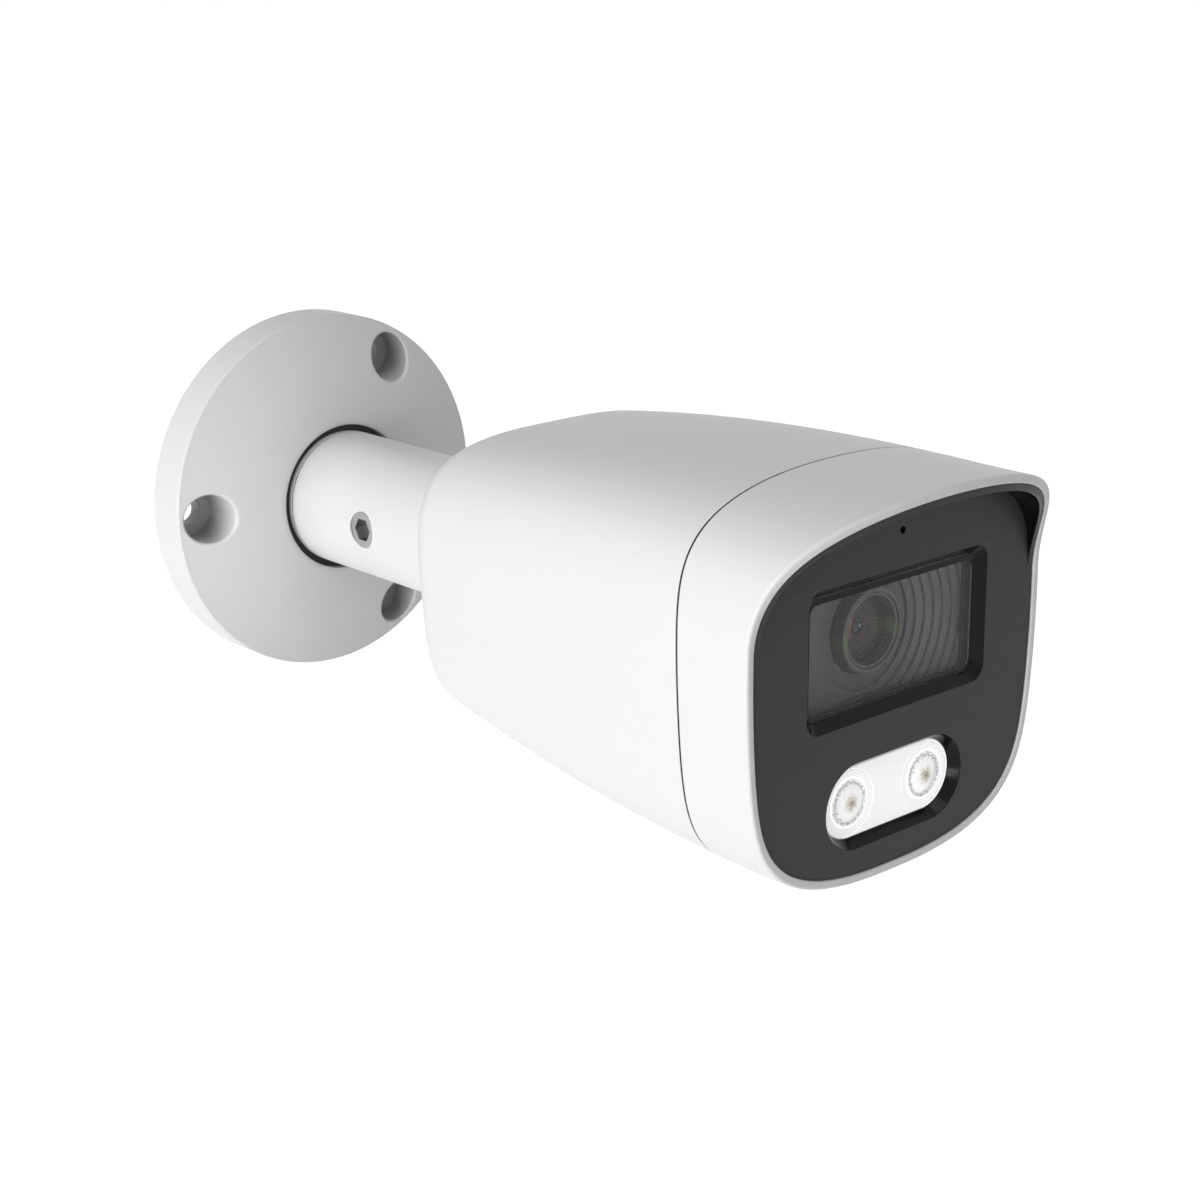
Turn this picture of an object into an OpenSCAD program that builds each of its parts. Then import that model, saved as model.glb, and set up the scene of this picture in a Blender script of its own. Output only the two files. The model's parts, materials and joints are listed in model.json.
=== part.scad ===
// Bullet security camera on a hollow arm and a round wall base.
// +Z is up. The wall is the plane Y = 0 and the camera looks along -Y.
// "out" is always a distance from the wall, measured along -Y.

/* [Wall base] */
// Diameter of the wall base
base_d = 70; // [64:1:90]
// Height of the base at its rim
base_rim_h = 8.8; // [7.5:0.1:11]
// Height of the base where the arm stands on it
base_h = 14.4; // [13:0.1:18]
// Pitch circle of the wall screws
wall_screw_pcd = 58; // [55:0.5:60]
// Diameter of the wall screw holes
wall_screw_hole_d = 4.8; // [3.5:0.1:5.5]
// Diameter of the pockets that hold the wall screw heads
wall_screw_pocket_d = 9.4; // [8:0.1:10.5]

/* [Arm] */
// Outer diameter of the arm
arm_d = 26; // [24:0.2:32]
// Wall thickness of the arm
arm_wall = 3.55; // [3:0.05:4.5]
// Length of the arm tube
arm_len = 43.4; // [36:0.1:60]
// Distance from the arm's foot to the lock screw
lock_screw_at = 22.6; // [16:0.1:26]
// Diameter of the lock screw
lock_screw_d = 6.8; // [5:0.1:8]
// Width across flats of the lock screw's socket
lock_socket_af = 4; // [2.5:0.5:4]
// Outward travel of the lock screw
lock_travel = 1.5; // [1:0.1:2]

/* [Ball joint] */
// Diameter of the ball
ball_d = 21; // [20:0.2:21.6]
// Diameter of the ball's neck
neck_d = 11; // [9.5:0.1:11.4]
// Length of the neck from the arm's collar to the ball's centre
neck_len = 14; // [14:0.1:20]
// Diameter of the cable passage
cable_d = 6; // [4:0.1:6.4]
// Tilt each way, in degrees
tilt_range = 35; // [20:1:36]

/* [Camera body] */
// Length of the body from its back to its face
body_len = 86.6; // [82:0.1:120]
// Width of the face, outside the rim
face_w = 66.6; // [66:0.1:72]
// Height of the face's top edge above the body's axis
face_top = 30.4; // [30:0.1:34]
// Depth of the face's bottom edge below the body's axis
face_bottom = 33.6; // [33:0.1:37]
// Width of the body's back end
rear_w = 57.6; // [56:0.1:64]
// Height of the back end's top above the axis
rear_top = 24.4; // [24:0.1:29]
// Depth of the back end's bottom below the axis
rear_bottom = 21.6; // [21.2:0.1:27]
// Radius round the edge of the back end
rear_edge_r = 8; // [6:0.1:9]
// Wall thickness of the body
wall = 2.5; // [2:0.1:2.8]
// Length of the front ring behind the face
ring_len = 14.5; // [13.5:0.1:17]
// Gap at the seam between the ring and the body
seam_gap = 0.2; // [0.1:0.05:0.4]

/* [Visor] */
// How far the visor reaches past the face
visor_reach = 10; // [4:0.1:14]
// Height above the axis where the visor starts
visor_start = 9.5; // [4:0.1:14]
// How sharply the visor sweeps forward
visor_curve = 1.8; // [1.5:0.1:3]
// Thickness of the visor's edge and the rim
rim_w = 1.45; // [1.2:0.05:1.8]
// Thickness of the dark liner inside the visor
liner_w = 1.25; // [1:0.05:1.5]

/* [Face] */
// Thickness of the dark mask
mask_t = 3.2; // [2.8:0.1:3.6]
// Width of the window at the face
window_w = 40.8; // [36:0.1:42]
// Height of the window at the face
window_h = 22.4; // [20:0.1:23]
// Height of the lens axis above the body's axis
lens_z = 4.35; // [3.5:0.05:5]
// Slope width round the window and the lamp panel
bevel = 1.4; // [1:0.1:1.8]
// Depth of the window glass below the face
glass_depth = 2; // [1.6:0.1:2.2]
// Thickness of the window glass
glass_t = 1.5; // [1.2:0.1:1.8]
// Half the distance between the two lamps
lamp_x = 8.7; // [8:0.1:9.5]
// Depth of the lamps below the body's axis
lamp_drop = 20.6; // [20:0.1:21.5]
// Diameter of the round ends of the lamp panel
lamp_panel_d = 11.8; // [11:0.1:12.4]
// Diameter of a lamp lens
lamp_lens_d = 7.8; // [7:0.1:8.2]
// Height of the microphone hole above the body's axis
mic_z = 21.5; // [20.5:0.1:22.5]
// Diameter of the microphone hole
mic_hole_d = 1; // [0.8:0.1:1.4]

/* [Lens and boards] */
// Diameter of the lens head
lens_head_d = 14; // [13:0.1:15]
// Diameter of the lens thread
lens_thread_d = 12; // [11:0.5:12]
// Distance from the face back to the front of the lens
lens_back = 5.6; // [5:0.1:6.5]
// Side of a circuit board
board_w = 38; // [36:0.5:39]
// Thickness of a circuit board
board_t = 1.6; // [1.2:0.1:2]
// Length of a board spacer
spacer_len = 10.8; // [10:0.1:12]
// Sideways travel of the night filter
filter_travel = 8; // [7:0.1:8]

/* [Clearances] */
// Radial play of a turning fit
turn_play = 0.05; // [0.02:0.01:0.08]
// Play between parts that are assembled and stay put
fit_play = 0.05; // [0.02:0.01:0.1]

/* [Hidden] */
$fn = 64;

// Fine points on a ring round the body, and lofted steps along it
ring_points = 60;
body_steps = 7;
edge_steps = 5;
visor_steps = 3;
skin = 0.01;

// Base and arm, outward from the wall
spigot_flange_t = 1.9;
base_pocket_depth = 4.5;
base_edge_r = 0.6;
base_crown = 0.6;
seat_r = arm_d / 2 + 1.2;
seat_depth = 1.4;
seal_t = 1;
arm_r = arm_d / 2;
arm_bore_r = arm_r - arm_wall;
arm_foot = base_h - seat_depth + seal_t + fit_play;
arm_edge_r = 0.8;
arm_end = arm_foot + arm_len;
spigot_r = arm_bore_r - turn_play;
spigot_bore_r = cable_d / 2 + 2;
lock_out = arm_foot + lock_screw_at;
lock_groove_r = spigot_r - lock_travel + 0.1;
lock_tip_r = lock_screw_d / 2 - 1;
spigot_end = lock_out + lock_tip_r + 4;
small_screw_r = 1.25;
small_head_r = 2;
small_head_h = 1.5;
screw_bolt_r = spigot_r + small_head_r;
spigot_flange_r = screw_bolt_r + small_head_r + 1.6;
base_pocket_r = spigot_flange_r + 1.2;
spigot_screw_len = 7;
grommet_t = 1.4;
grommet_len = 5;
wall_screw_floor = 3.2;
wall_screw_angles = [60, 180, 300];
spigot_screw_angles = [30, 150, 270];
lock_screw_inset = 0.3;
lock_socket_depth = 2.2;

// Ball joint
ball_r = ball_d / 2;
collar_t = 2;
plug_len = 6;
ball_out = arm_end + collar_t + neck_len;
ball_play = 0.1;
cup_r = ball_r + 2.5;
cup_back = 3;
mouth_r = cup_back * tan(tilt_range) + neck_d / 2 / cos(tilt_range) + 0.3;
cup_flange_r = cup_r + 2.4;
flange_t = 1.8;
washer_t = 0.8;
retainer_t = 1.6;
seat_bore_r = ball_r + 1;
seat_start = 2.5;
seat_len = ball_r - 6.1;
nut_t = 1.8;
nut_bore_r = sqrt(pow(ball_r, 2) - pow(seat_start + seat_len, 2)) + 0.5;
cup_len = cup_back + seat_start + seat_len + nut_t + 2 * fit_play;
pin_r = 1.5;
pin_in = ball_r - 3;
retainer_bolt_r = cup_flange_r + 2.8;
retainer_angles = [90, 210, 330];

// Camera body, outward from the wall
rear_out = ball_out - cup_back - 0.1;
face_out = rear_out + body_len;
seam_out = face_out - ring_len;
rear_wall = 3;
rear_in = rear_out + rear_wall;
retainer_out = rear_in + fit_play + flange_t + washer_t + fit_play;
body_mid = (face_top - face_bottom) / 2;

// Outline exponents: [across, up] at the top and bottom of the face, and at the back
face_top_n = [2.0, 6.26];
face_bottom_n = [2.57, 5.46];
rear_top_n = [3.5, 3.5];
rear_bottom_n = [4.5, 4.5];
face_lean = 0.0012;
rear_lean = 0.0023;
face_belly = 0.000082;
width_curve = 2.2;
height_curve = 2.4;
belly_curve = 1.6;

// Joint between the ring and the body
lip_play = 0.1;
lip_t = 1.2;
lip_len = 3;
lip_root = 1.2;
lip_in = wall + lip_play + lip_t;
case_boss_r = 3.2;
case_top_x = face_w / 2 - wall - 6.8;
case_low_x = face_w / 2 - wall - 8;
case_top_z = face_top - wall - 11.9;
case_low_z = wall + 11.6 - face_bottom;
case_boss_at = [[case_top_x, case_top_z], [-case_top_x, case_top_z],
                [case_low_x, case_low_z], [-case_low_x, case_low_z]];
case_rib_reach = 9;
case_rib_t = 2.4;
case_boss_len = 26;
case_screw_r = 1.2;
case_head_r = 2.6;
case_head_h = 1.8;
case_screw_len = 12;
plate_t = 1.1;
lug_t = 3;
seal_w = 1;
seal_in = 0.8;
seal_depth = 1.2;
ledge_w = 4;
ledge_t = 2;

// Mask and what sits in it
mask_back = face_out - mask_t;
mask_seal_t = 0.8;
glass_front = face_out - glass_depth;
glass_back = glass_front - glass_t;
gasket_t = 0.8;
shroud_front = glass_back - gasket_t;
window_r = 2.6;
glass_edge = 1.4;
gasket_play = 0.1;
inner_w = window_w - 2 * bevel;
inner_h = window_h - 2 * bevel;
inner_r = window_r - glass_edge + 0.4;
glass_w = inner_w + 2 * (glass_edge - gasket_play);
glass_h = inner_h + 2 * (glass_edge - gasket_play);
shroud_ear_x = window_w / 2 + 3.7;
mask_post_r = 2.2;
tiny_screw_r = 0.9;
tiny_head_r = 1.8;
tiny_head_h = 1.2;
tiny_bore_r = 0.95;
tiny_hole_r = 1.05;
ear_t = 1.2;

// Lens
lens_front = face_out - lens_back;
lens_head_len = 3.8;
front_seat = 0.9;
front_lens_t = 2.5;
front_dome_r = 9;
rear_lens_t = 2.2;
lens_head_back = lens_front - lens_head_len;
lock_ring_t = 1.5;
mount_top = lens_head_back - lock_ring_t - fit_play;
thread_r = lens_thread_d / 2;
lens_bore_r = thread_r - 1.8;
front_lens_r = lens_head_d / 2 - 1.7;
shroud_hole_r = lens_head_d / 2 + 0.4;
shroud_t = 0.9;
shroud_step = 2.15;
shroud_first = 2.5;
shroud_steps = 5;
shroud_depth = 3.6;
shroud_back = shroud_front - shroud_depth - shroud_t;

// Chassis and boards
plate_front = seam_out + 0.1;
plate_back = plate_front - plate_t;
spacer_at = board_w / 2 - 3;
spacer_r = 2.5;
stud_r = 1.25;
stud_len = 4;
sensor_front = plate_back - spacer_len;
sensor_back = sensor_front - board_t;
main_front = sensor_back - spacer_len;
main_back = main_front - board_t;
power_front = main_back - spacer_len;
power_back = power_front - board_t;
mount_base_w = 28;
mount_base_h = 18;
mount_base_t = 6;
mount_r = thread_r + 1.6;
filter_w = 7.4;
filter_frame_h = 9.4;
filter_frame_t = 1.2;
filter_back = sensor_front + 3;
coil_r = 2.4;
coil_len = 9;
plunger_r = 0.9;
plunger_z = mount_base_h / 2 + coil_r + 0.2;
filter_tab = (mount_base_h - filter_frame_h) / 2 + coil_r + 1.2;
connector_size = [5, 12];
chip_w = 14;
chip_t = 1.2;
pad_t = 0.8;
sink_w = 20;
sink_t = 6;
fin_gap = 1.6;
fin_pitch = 3.6;
sink_back = main_back - chip_t - pad_t - sink_t;
capacitor_len = 9;
header_t = 6;
desiccant_size = [22, 4, 12];

// Lamps and microphone
lamp_panel_front = face_out - 2;
lamp_panel_t = 1.6;
lamp_panel_back = lamp_panel_front - lamp_panel_t;
lamp_board_t = 1;
lamp_lens_h = 4.4;
lamp_dome_h = 0.6;
lamp_dome_r = 13;
lamp_chip_bore_r = 2.3;
lamp_chip_w = 3;
lamp_chip_t = 0.7;
lamp_board_front = lamp_panel_front - lamp_lens_h;
lamp_screw_x = 19.5;
mic_r = 2;
mic_t = 1.6;
boot_r = 2.9;
mic_set = 1.8;

function lerp(a, b, k) = a + (b - a) * k;
function signed_pow(v, p) = sign(v) * pow(abs(v), p);

// Share of the way from the face to the back end
function back_share(out) = max(0, (face_out - out) / body_len);

// Angle for a share of a quarter turn, spaced so that points lie evenly on the outline
function even_angle(u, up_n, across_n) =
    90 * pow(u, up_n / 2) / (pow(u, up_n / 2) + pow(1 - u, across_n / 2));

// One outline point of the body: index round the ring, distance out and inset from the surface
function outline_point(i, out, inset) =
    let (
        quarter = floor(4 * i / ring_points),
        u = 4 * i / ring_points - quarter,
        k = back_share(out),
        top = quarter < 2,
        n = top ? lerp(face_top_n, rear_top_n, k) : lerp(face_bottom_n, rear_bottom_n, k),
        rising = quarter == 0 || quarter == 2,
        turn = rising ? even_angle(u, n[1], n[0]) : 90 - even_angle(1 - u, n[1], n[0]),
        a = quarter * 90 + turn,
        into_edge = max(0, rear_out + rear_edge_r - out),
        edge = rear_edge_r - sqrt(max(0, pow(rear_edge_r, 2) - pow(into_edge, 2))),
        cut = inset + edge,
        half_w = lerp(face_w, rear_w, pow(k, width_curve)) / 2 - cut,
        high = lerp(face_top, rear_top, pow(k, height_curve)),
        low = -lerp(face_bottom, rear_bottom, pow(k, belly_curve)),
        mid = lerp(body_mid, 0, k),
        reach = (top ? high - mid : mid - low) - cut,
        up = reach * signed_pow(sin(a), 2 / n[1]),
        lean = 1 + lerp(face_lean, rear_lean, k) * up - face_belly * (1 - k) * up * up
    )
    [half_w * lean * signed_pow(cos(a), 2 / n[0]), mid + up];

// Forward reach of the visor's edge at a height
function visor_at(z) =
    visor_reach * pow(max(0, (z - visor_start) / (face_top - visor_start)), visor_curve);

function in_frame(p, out) = [p[0], -out, p[1]];

// A closed ring of points at one distance out
function body_ring(out, inset) =
    [for (i = [0:ring_points - 1]) in_frame(outline_point(i, out, inset), out)];

// A ring whose points lie between the seam and the swept front edge
function visor_ring(from_out, share, inset, drop, least) =
    [for (i = [0:ring_points - 1])
        let (
            edge = outline_point(i, face_out, inset),
            sweep = max(least, visor_at(outline_point(i, face_out, 0)[1]) - drop),
            out = lerp(from_out, face_out + sweep, share)
        )
        in_frame(share == 1 ? edge : outline_point(i, min(out, face_out), inset), out)];

function ring_faces(rings, wrap) =
    [for (r = [0:len(rings) - (wrap ? 1 : 2)], i = [0:ring_points - 1])
        let (
            a = r * ring_points,
            b = ((r + 1) % len(rings)) * ring_points,
            j = (i + 1) % ring_points
        )
        each [[a + i, b + i, b + j], [a + i, b + j, a + j]]];

function flat_list(lists) = [for (l = lists) each l];

// Solid through a stack of rings, closed at both ends
module loft(rings) {
    last = (len(rings) - 1) * ring_points;
    polyhedron(
        points = flat_list(rings),
        faces = concat(
            ring_faces(rings, false),
            [[for (i = [0:ring_points - 1]) i]],
            [[for (i = [ring_points - 1:-1:0]) last + i]]),
        convexity = 6);
}

// Ring-shaped solid whose section is the given loop of rings
module loop(rings) {
    polyhedron(points = flat_list(rings), faces = ring_faces(rings, true), convexity = 6);
}

// Children stand on the wall side, with their +Z outward and their +Y up
module facing(out) translate([0, -out, 0]) rotate([90, 0, 0]) children();

module rounded_rect(w, h, r) {
    square([w - 2 * r, h], center = true);
    square([w, h - 2 * r], center = true);
    for (x = [-1, 1], y = [-1, 1]) translate([x * (w / 2 - r), y * (h / 2 - r)]) circle(r);
}

module pill(half_len, r) {
    square([2 * half_len, 2 * r], center = true);
    for (x = [-1, 1]) translate([x * half_len, 0]) circle(r);
}

module disc(r, t) cylinder(r = r, h = t);

module tube(r, bore_r, t) difference() {
    cylinder(r = r, h = t);
    translate([0, 0, -1]) cylinder(r = bore_r, h = t + 2);
}

module pan_screw(shank_r, len, head_r, head_h) {
    // Head above the origin, shank below it, with a cross slot
    difference() {
        cylinder(r = head_r, h = head_h);
        for (a = [0, 90]) rotate(a) translate([-head_r * 0.6, -0.25, head_h * 0.5])
            cube([head_r * 1.2, 0.5, head_h]);
    }
    translate([0, 0, -len]) cylinder(r = shank_r, h = len + skin);
}

module at_all(places) for (p = places) translate([p[0], p[1], 0]) children();

module around(r, angles) for (a = angles) rotate(a) translate([r, 0, 0]) children();

// ---- Wall base ----

function base_profile() = concat(
    [[spigot_r + turn_play, base_pocket_depth], [base_pocket_r, base_pocket_depth],
     [base_pocket_r, 0], [base_d / 2 - base_edge_r, 0], [base_d / 2, base_edge_r]],
    [for (a = [0:15:75]) [base_d / 2 - base_edge_r * (1 - cos(a)),
                          base_rim_h - base_edge_r * (1 - sin(a))]],
    [for (k = [0:0.125:1]) [lerp(base_d / 2 - base_edge_r, seat_r + 0.3, k),
                            lerp(base_rim_h, base_h, k) + base_crown * sin(180 * k)]],
    [[seat_r, base_h - 0.3], [seat_r, base_h - seat_depth],
     [spigot_r + turn_play, base_h - seat_depth]]);

module base_plate() color("whitesmoke") facing(0) difference() {
    rotate_extrude($fn = 128) polygon(base_profile());
    around(wall_screw_pcd / 2, wall_screw_angles) {
        translate([0, 0, -1]) cylinder(d = wall_screw_hole_d, h = base_h + 2);
        translate([0, 0, wall_screw_floor]) cylinder(d = wall_screw_pocket_d, h = base_h);
    }
    around(screw_bolt_r, spigot_screw_angles) translate([0, 0, base_pocket_depth - 1])
        cylinder(r = small_screw_r + fit_play, h = spigot_screw_len - spigot_flange_t + 2);
}

module pivot_spigot() color("silver") facing(base_pocket_depth - spigot_flange_t) difference() {
    union() {
        disc(spigot_flange_r, spigot_flange_t - fit_play);
        cylinder(r = spigot_r, h = spigot_end - base_pocket_depth + spigot_flange_t);
    }
    translate([0, 0, -1]) cylinder(r = spigot_bore_r, h = spigot_end + 2);
    translate([0, 0, lock_out - base_pocket_depth + spigot_flange_t - lock_tip_r - 0.3])
        tube(spigot_r + 1, lock_groove_r, 2 * lock_tip_r + 0.6);
    around(screw_bolt_r, spigot_screw_angles) translate([0, 0, -1])
        cylinder(r = small_screw_r + fit_play, h = spigot_flange_t + 2);
}

module spigot_screws() color("gray") facing(base_pocket_depth - spigot_flange_t)
    around(screw_bolt_r, spigot_screw_angles) mirror([0, 0, 1])
        pan_screw(small_screw_r, spigot_screw_len, small_head_r, small_head_h);

module cable_grommet() color("dimgray") facing(base_pocket_depth - spigot_flange_t - grommet_t)
    difference() {
        union() {
            disc(spigot_bore_r + 1.2, grommet_t);
            cylinder(r = spigot_bore_r - fit_play, h = grommet_t + grommet_len);
        }
        translate([0, 0, -1]) cylinder(d = cable_d, h = grommet_t + grommet_len + 2);
    }

module foot_seal() color("dimgray") facing(base_h - seat_depth)
    tube(seat_r - fit_play, spigot_r + 0.6, seal_t);

// ---- Arm ----

module arm_tube() color("white") difference() {
    facing(arm_foot) rotate_extrude($fn = 96) polygon(concat(
        [[arm_bore_r, 0]],
        [for (a = [-90:15:0]) [arm_r - arm_edge_r * (1 - cos(a)), arm_edge_r * (1 + sin(a))]],
        [[arm_r, arm_len], [arm_bore_r, arm_len]]));
    facing(lock_out) rotate([0, -90, 0]) cylinder(d = lock_screw_d + 2 * turn_play, h = arm_d);
}

module ball_stud() color("gainsboro") difference() {
    facing(ball_out) union() {
        difference() {
            sphere(r = ball_r, $fn = 96);
            translate([0, 0, ball_r * 0.86]) cylinder(r = ball_r, h = ball_r);
        }
        translate([0, 0, -neck_len - skin]) cylinder(d = neck_d, h = neck_len);
        translate([0, 0, -neck_len - collar_t]) rotate_extrude() polygon([
            [0, 0], [arm_r, 0], [arm_r, collar_t - arm_edge_r],
            [arm_r - arm_edge_r, collar_t], [0, collar_t]]);
        translate([0, 0, -neck_len - collar_t - plug_len])
            cylinder(r = arm_bore_r - fit_play, h = plug_len + skin);
    }
    facing(arm_end - plug_len - 1) cylinder(d = cable_d, h = plug_len + collar_t + neck_len + ball_d);
    for (s = [-1, 1]) translate([s * (pin_in - fit_play), -ball_out, 0])
        rotate([0, s * 90, 0]) cylinder(r = pin_r + turn_play, h = ball_r);
}

module lock_screw() color("silver") facing(lock_out) rotate([0, -90, 0]) difference() {
    union() {
        translate([0, 0, spigot_r + 0.35])
            cylinder(d = lock_screw_d, h = arm_r - lock_screw_inset - spigot_r - 0.35);
        translate([0, 0, lock_groove_r + 0.1]) cylinder(r = lock_tip_r, h = 2);
    }
    translate([0, 0, arm_r - lock_screw_inset - lock_socket_depth])
        cylinder(d = lock_socket_af / cos(30), h = 4, $fn = 6);
}

// ---- Ball joint ----

module ball_cup() color("darkgray") difference() {
    facing(ball_out - cup_back) union() {
        cylinder(r = cup_r, h = cup_len);
        translate([0, 0, rear_wall - 0.1 + fit_play]) disc(cup_flange_r, flange_t);
    }
    facing(ball_out) {
        sphere(r = ball_r + ball_play, $fn = 96);
        cylinder(r = ball_r + ball_play, h = seat_start + skin);
        translate([0, 0, seat_start]) cylinder(r = seat_bore_r, h = cup_len);
        translate([0, 0, -cup_back - 1]) cylinder(r = mouth_r, h = cup_back);
    }
    translate([0, -ball_out, 0]) rotate([0, 90, 0])
        cylinder(r = pin_r + fit_play, h = 2 * cup_r + 2, center = true);
}

module ball_seat() color("ivory") facing(ball_out) difference() {
    translate([0, 0, seat_start + fit_play]) cylinder(r = seat_bore_r - fit_play, h = seat_len);
    sphere(r = ball_r + ball_play, $fn = 96);
    cylinder(r = ball_r * 0.6, h = cup_len);
}

module seat_nut() color("dimgray")
    facing(ball_out + seat_start + seat_len + 2 * fit_play) difference() {
        tube(seat_bore_r - fit_play, nut_bore_r, nut_t);
        for (a = [0, 90]) rotate(a) translate([-seat_bore_r, -0.7, nut_t - 0.8])
            cube([2 * seat_bore_r, 1.4, 2]);
    }

module tilt_pins() color("silver") for (s = [-1, 1]) translate([s * pin_in, -ball_out, 0])
    rotate([0, s * 90, 0]) cylinder(r = pin_r, h = cup_r - pin_in - 0.1);

// ---- Camera body ----

module case_rib(p, out, t) {
    // Web from a boss to the wall beside it
    translate([p[0] > 0 ? p[0] : p[0] - case_rib_reach, -out - t, p[1] - case_rib_t / 2])
        cube([case_rib_reach, t, case_rib_t]);
}

module body_solid(inset, from_out, to_out) {
    edge_end = rear_out + rear_edge_r;
    edge_rings = from_out < edge_end
        ? [for (k = [0:edge_steps - 1])
            body_ring(lerp(from_out, edge_end, 1 - cos(90 * k / edge_steps)), inset)]
        : [];
    first = max(from_out, edge_end);
    loft(concat(edge_rings,
        [for (k = [0:body_steps]) body_ring(lerp(first, to_out, k / body_steps), inset)]));
}

module rear_housing() color("white") difference() {
    union() {
        difference() {
            body_solid(0, rear_out, seam_out - seam_gap);
            body_solid(wall, rear_in, seam_out + 1);
        }
        intersection() {
            body_solid(wall / 2, rear_out + 1, seam_out - seam_gap);
            union() {
                for (p = case_boss_at) {
                    facing(plate_back - case_boss_len) translate([p[0], p[1], 0])
                        cylinder(r = case_boss_r, h = case_boss_len);
                    case_rib(p, plate_back - case_boss_len, case_boss_len - lip_len - 1);
                }
                facing(rear_in - skin) around(retainer_bolt_r, retainer_angles)
                    cylinder(r = small_head_r + 0.5, h = retainer_out - rear_in + skin);
            }
        }
    }
    facing(rear_out - 1) cylinder(r = cup_r + turn_play, h = rear_wall + 2);
    facing(rear_out + 1) around(retainer_bolt_r, retainer_angles)
        cylinder(r = small_screw_r + fit_play, h = retainer_out);
    facing(plate_back - case_screw_len) at_all(case_boss_at)
        cylinder(r = case_screw_r + fit_play, h = case_screw_len + 1);
    loop([body_ring(seam_out - seam_gap - seal_depth, seal_in),
          body_ring(seam_out + 1, seal_in),
          body_ring(seam_out + 1, seal_in + seal_w),
          body_ring(seam_out - seam_gap - seal_depth, seal_in + seal_w)]);
}

module housing_seal() color("black")
    loop([body_ring(seam_out - seam_gap - seal_depth + 0.02, seal_in + fit_play),
          body_ring(seam_out - 0.02, seal_in + fit_play),
          body_ring(seam_out - 0.02, seal_in + seal_w - fit_play),
          body_ring(seam_out - seam_gap - seal_depth + 0.02, seal_in + seal_w - fit_play)]);

module friction_washer() color("ivory") facing(rear_in + fit_play + flange_t)
    tube(cup_flange_r - 0.2, cup_r + 0.2, washer_t);

module cup_retainer() color("silver") facing(retainer_out) difference() {
    union() {
        disc(cup_flange_r + 0.8, retainer_t);
        around(retainer_bolt_r, retainer_angles) disc(small_head_r + 0.6, retainer_t);
    }
    translate([0, 0, -1]) cylinder(r = cup_r + 0.2, h = retainer_t + 2);
    around(retainer_bolt_r, retainer_angles) translate([0, 0, -1])
        cylinder(r = small_screw_r + 2 * fit_play, h = retainer_t + 2);
}

module retainer_screws() color("gray") facing(retainer_out + retainer_t)
    around(retainer_bolt_r, retainer_angles)
        pan_screw(small_screw_r, retainer_t + 2.4, small_head_r, small_head_h);

// ---- Front ring ----

module front_ring() color("white") difference() {
    union() {
        loop(concat(
            [for (k = [0:visor_steps]) visor_ring(seam_out, k / visor_steps, 0, 0, 0)],
            [visor_ring(seam_out, 1, rim_w, 0, 0),
             body_ring(mask_back - mask_seal_t, rim_w),
             body_ring(mask_back - mask_seal_t, ledge_w),
             body_ring(mask_back - mask_seal_t - ledge_t, ledge_w),
             body_ring(mask_back - mask_seal_t - ledge_t, wall),
             body_ring(seam_out + lip_root, wall),
             body_ring(seam_out + lip_root, lip_in),
             body_ring(seam_out - lip_len, lip_in),
             body_ring(seam_out - lip_len, wall + lip_play),
             body_ring(seam_out, wall + lip_play)]));
        intersection() {
            body_solid(wall / 2, plate_front, mask_back);
            for (p = case_boss_at) {
                facing(plate_front + fit_play) translate([p[0], p[1], 0])
                    cylinder(r = case_boss_r, h = lug_t);
                case_rib(p, plate_front + fit_play, lug_t);
            }
        }
    }
    facing(seam_out - 1) at_all(case_boss_at)
        cylinder(r = case_screw_r + 2 * fit_play, h = lug_t + 3);
}

module case_screws() color("gray") facing(plate_front + fit_play + lug_t) at_all(case_boss_at)
    pan_screw(case_screw_r, lug_t + case_screw_len - 2, case_head_r, case_head_h);

module mask_seal() color("black")
    loop([body_ring(mask_back - mask_seal_t, rim_w + 0.3),
          body_ring(mask_back, rim_w + 0.3),
          body_ring(mask_back, ledge_w - 0.4),
          body_ring(mask_back - mask_seal_t, ledge_w - 0.4)]);

module bevelled(w, h, r, slope, depth) {
    // Cutter that narrows from the face down to the given depth
    hull() {
        translate([0, 0, 1]) linear_extrude(skin)
            rounded_rect(w + slope, h + slope, r + slope / 2, $fn = 32);
        translate([0, 0, -depth]) linear_extrude(skin)
            rounded_rect(w - 2 * slope, h - 2 * slope, r - slope / 2, $fn = 32);
    }
}

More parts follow.
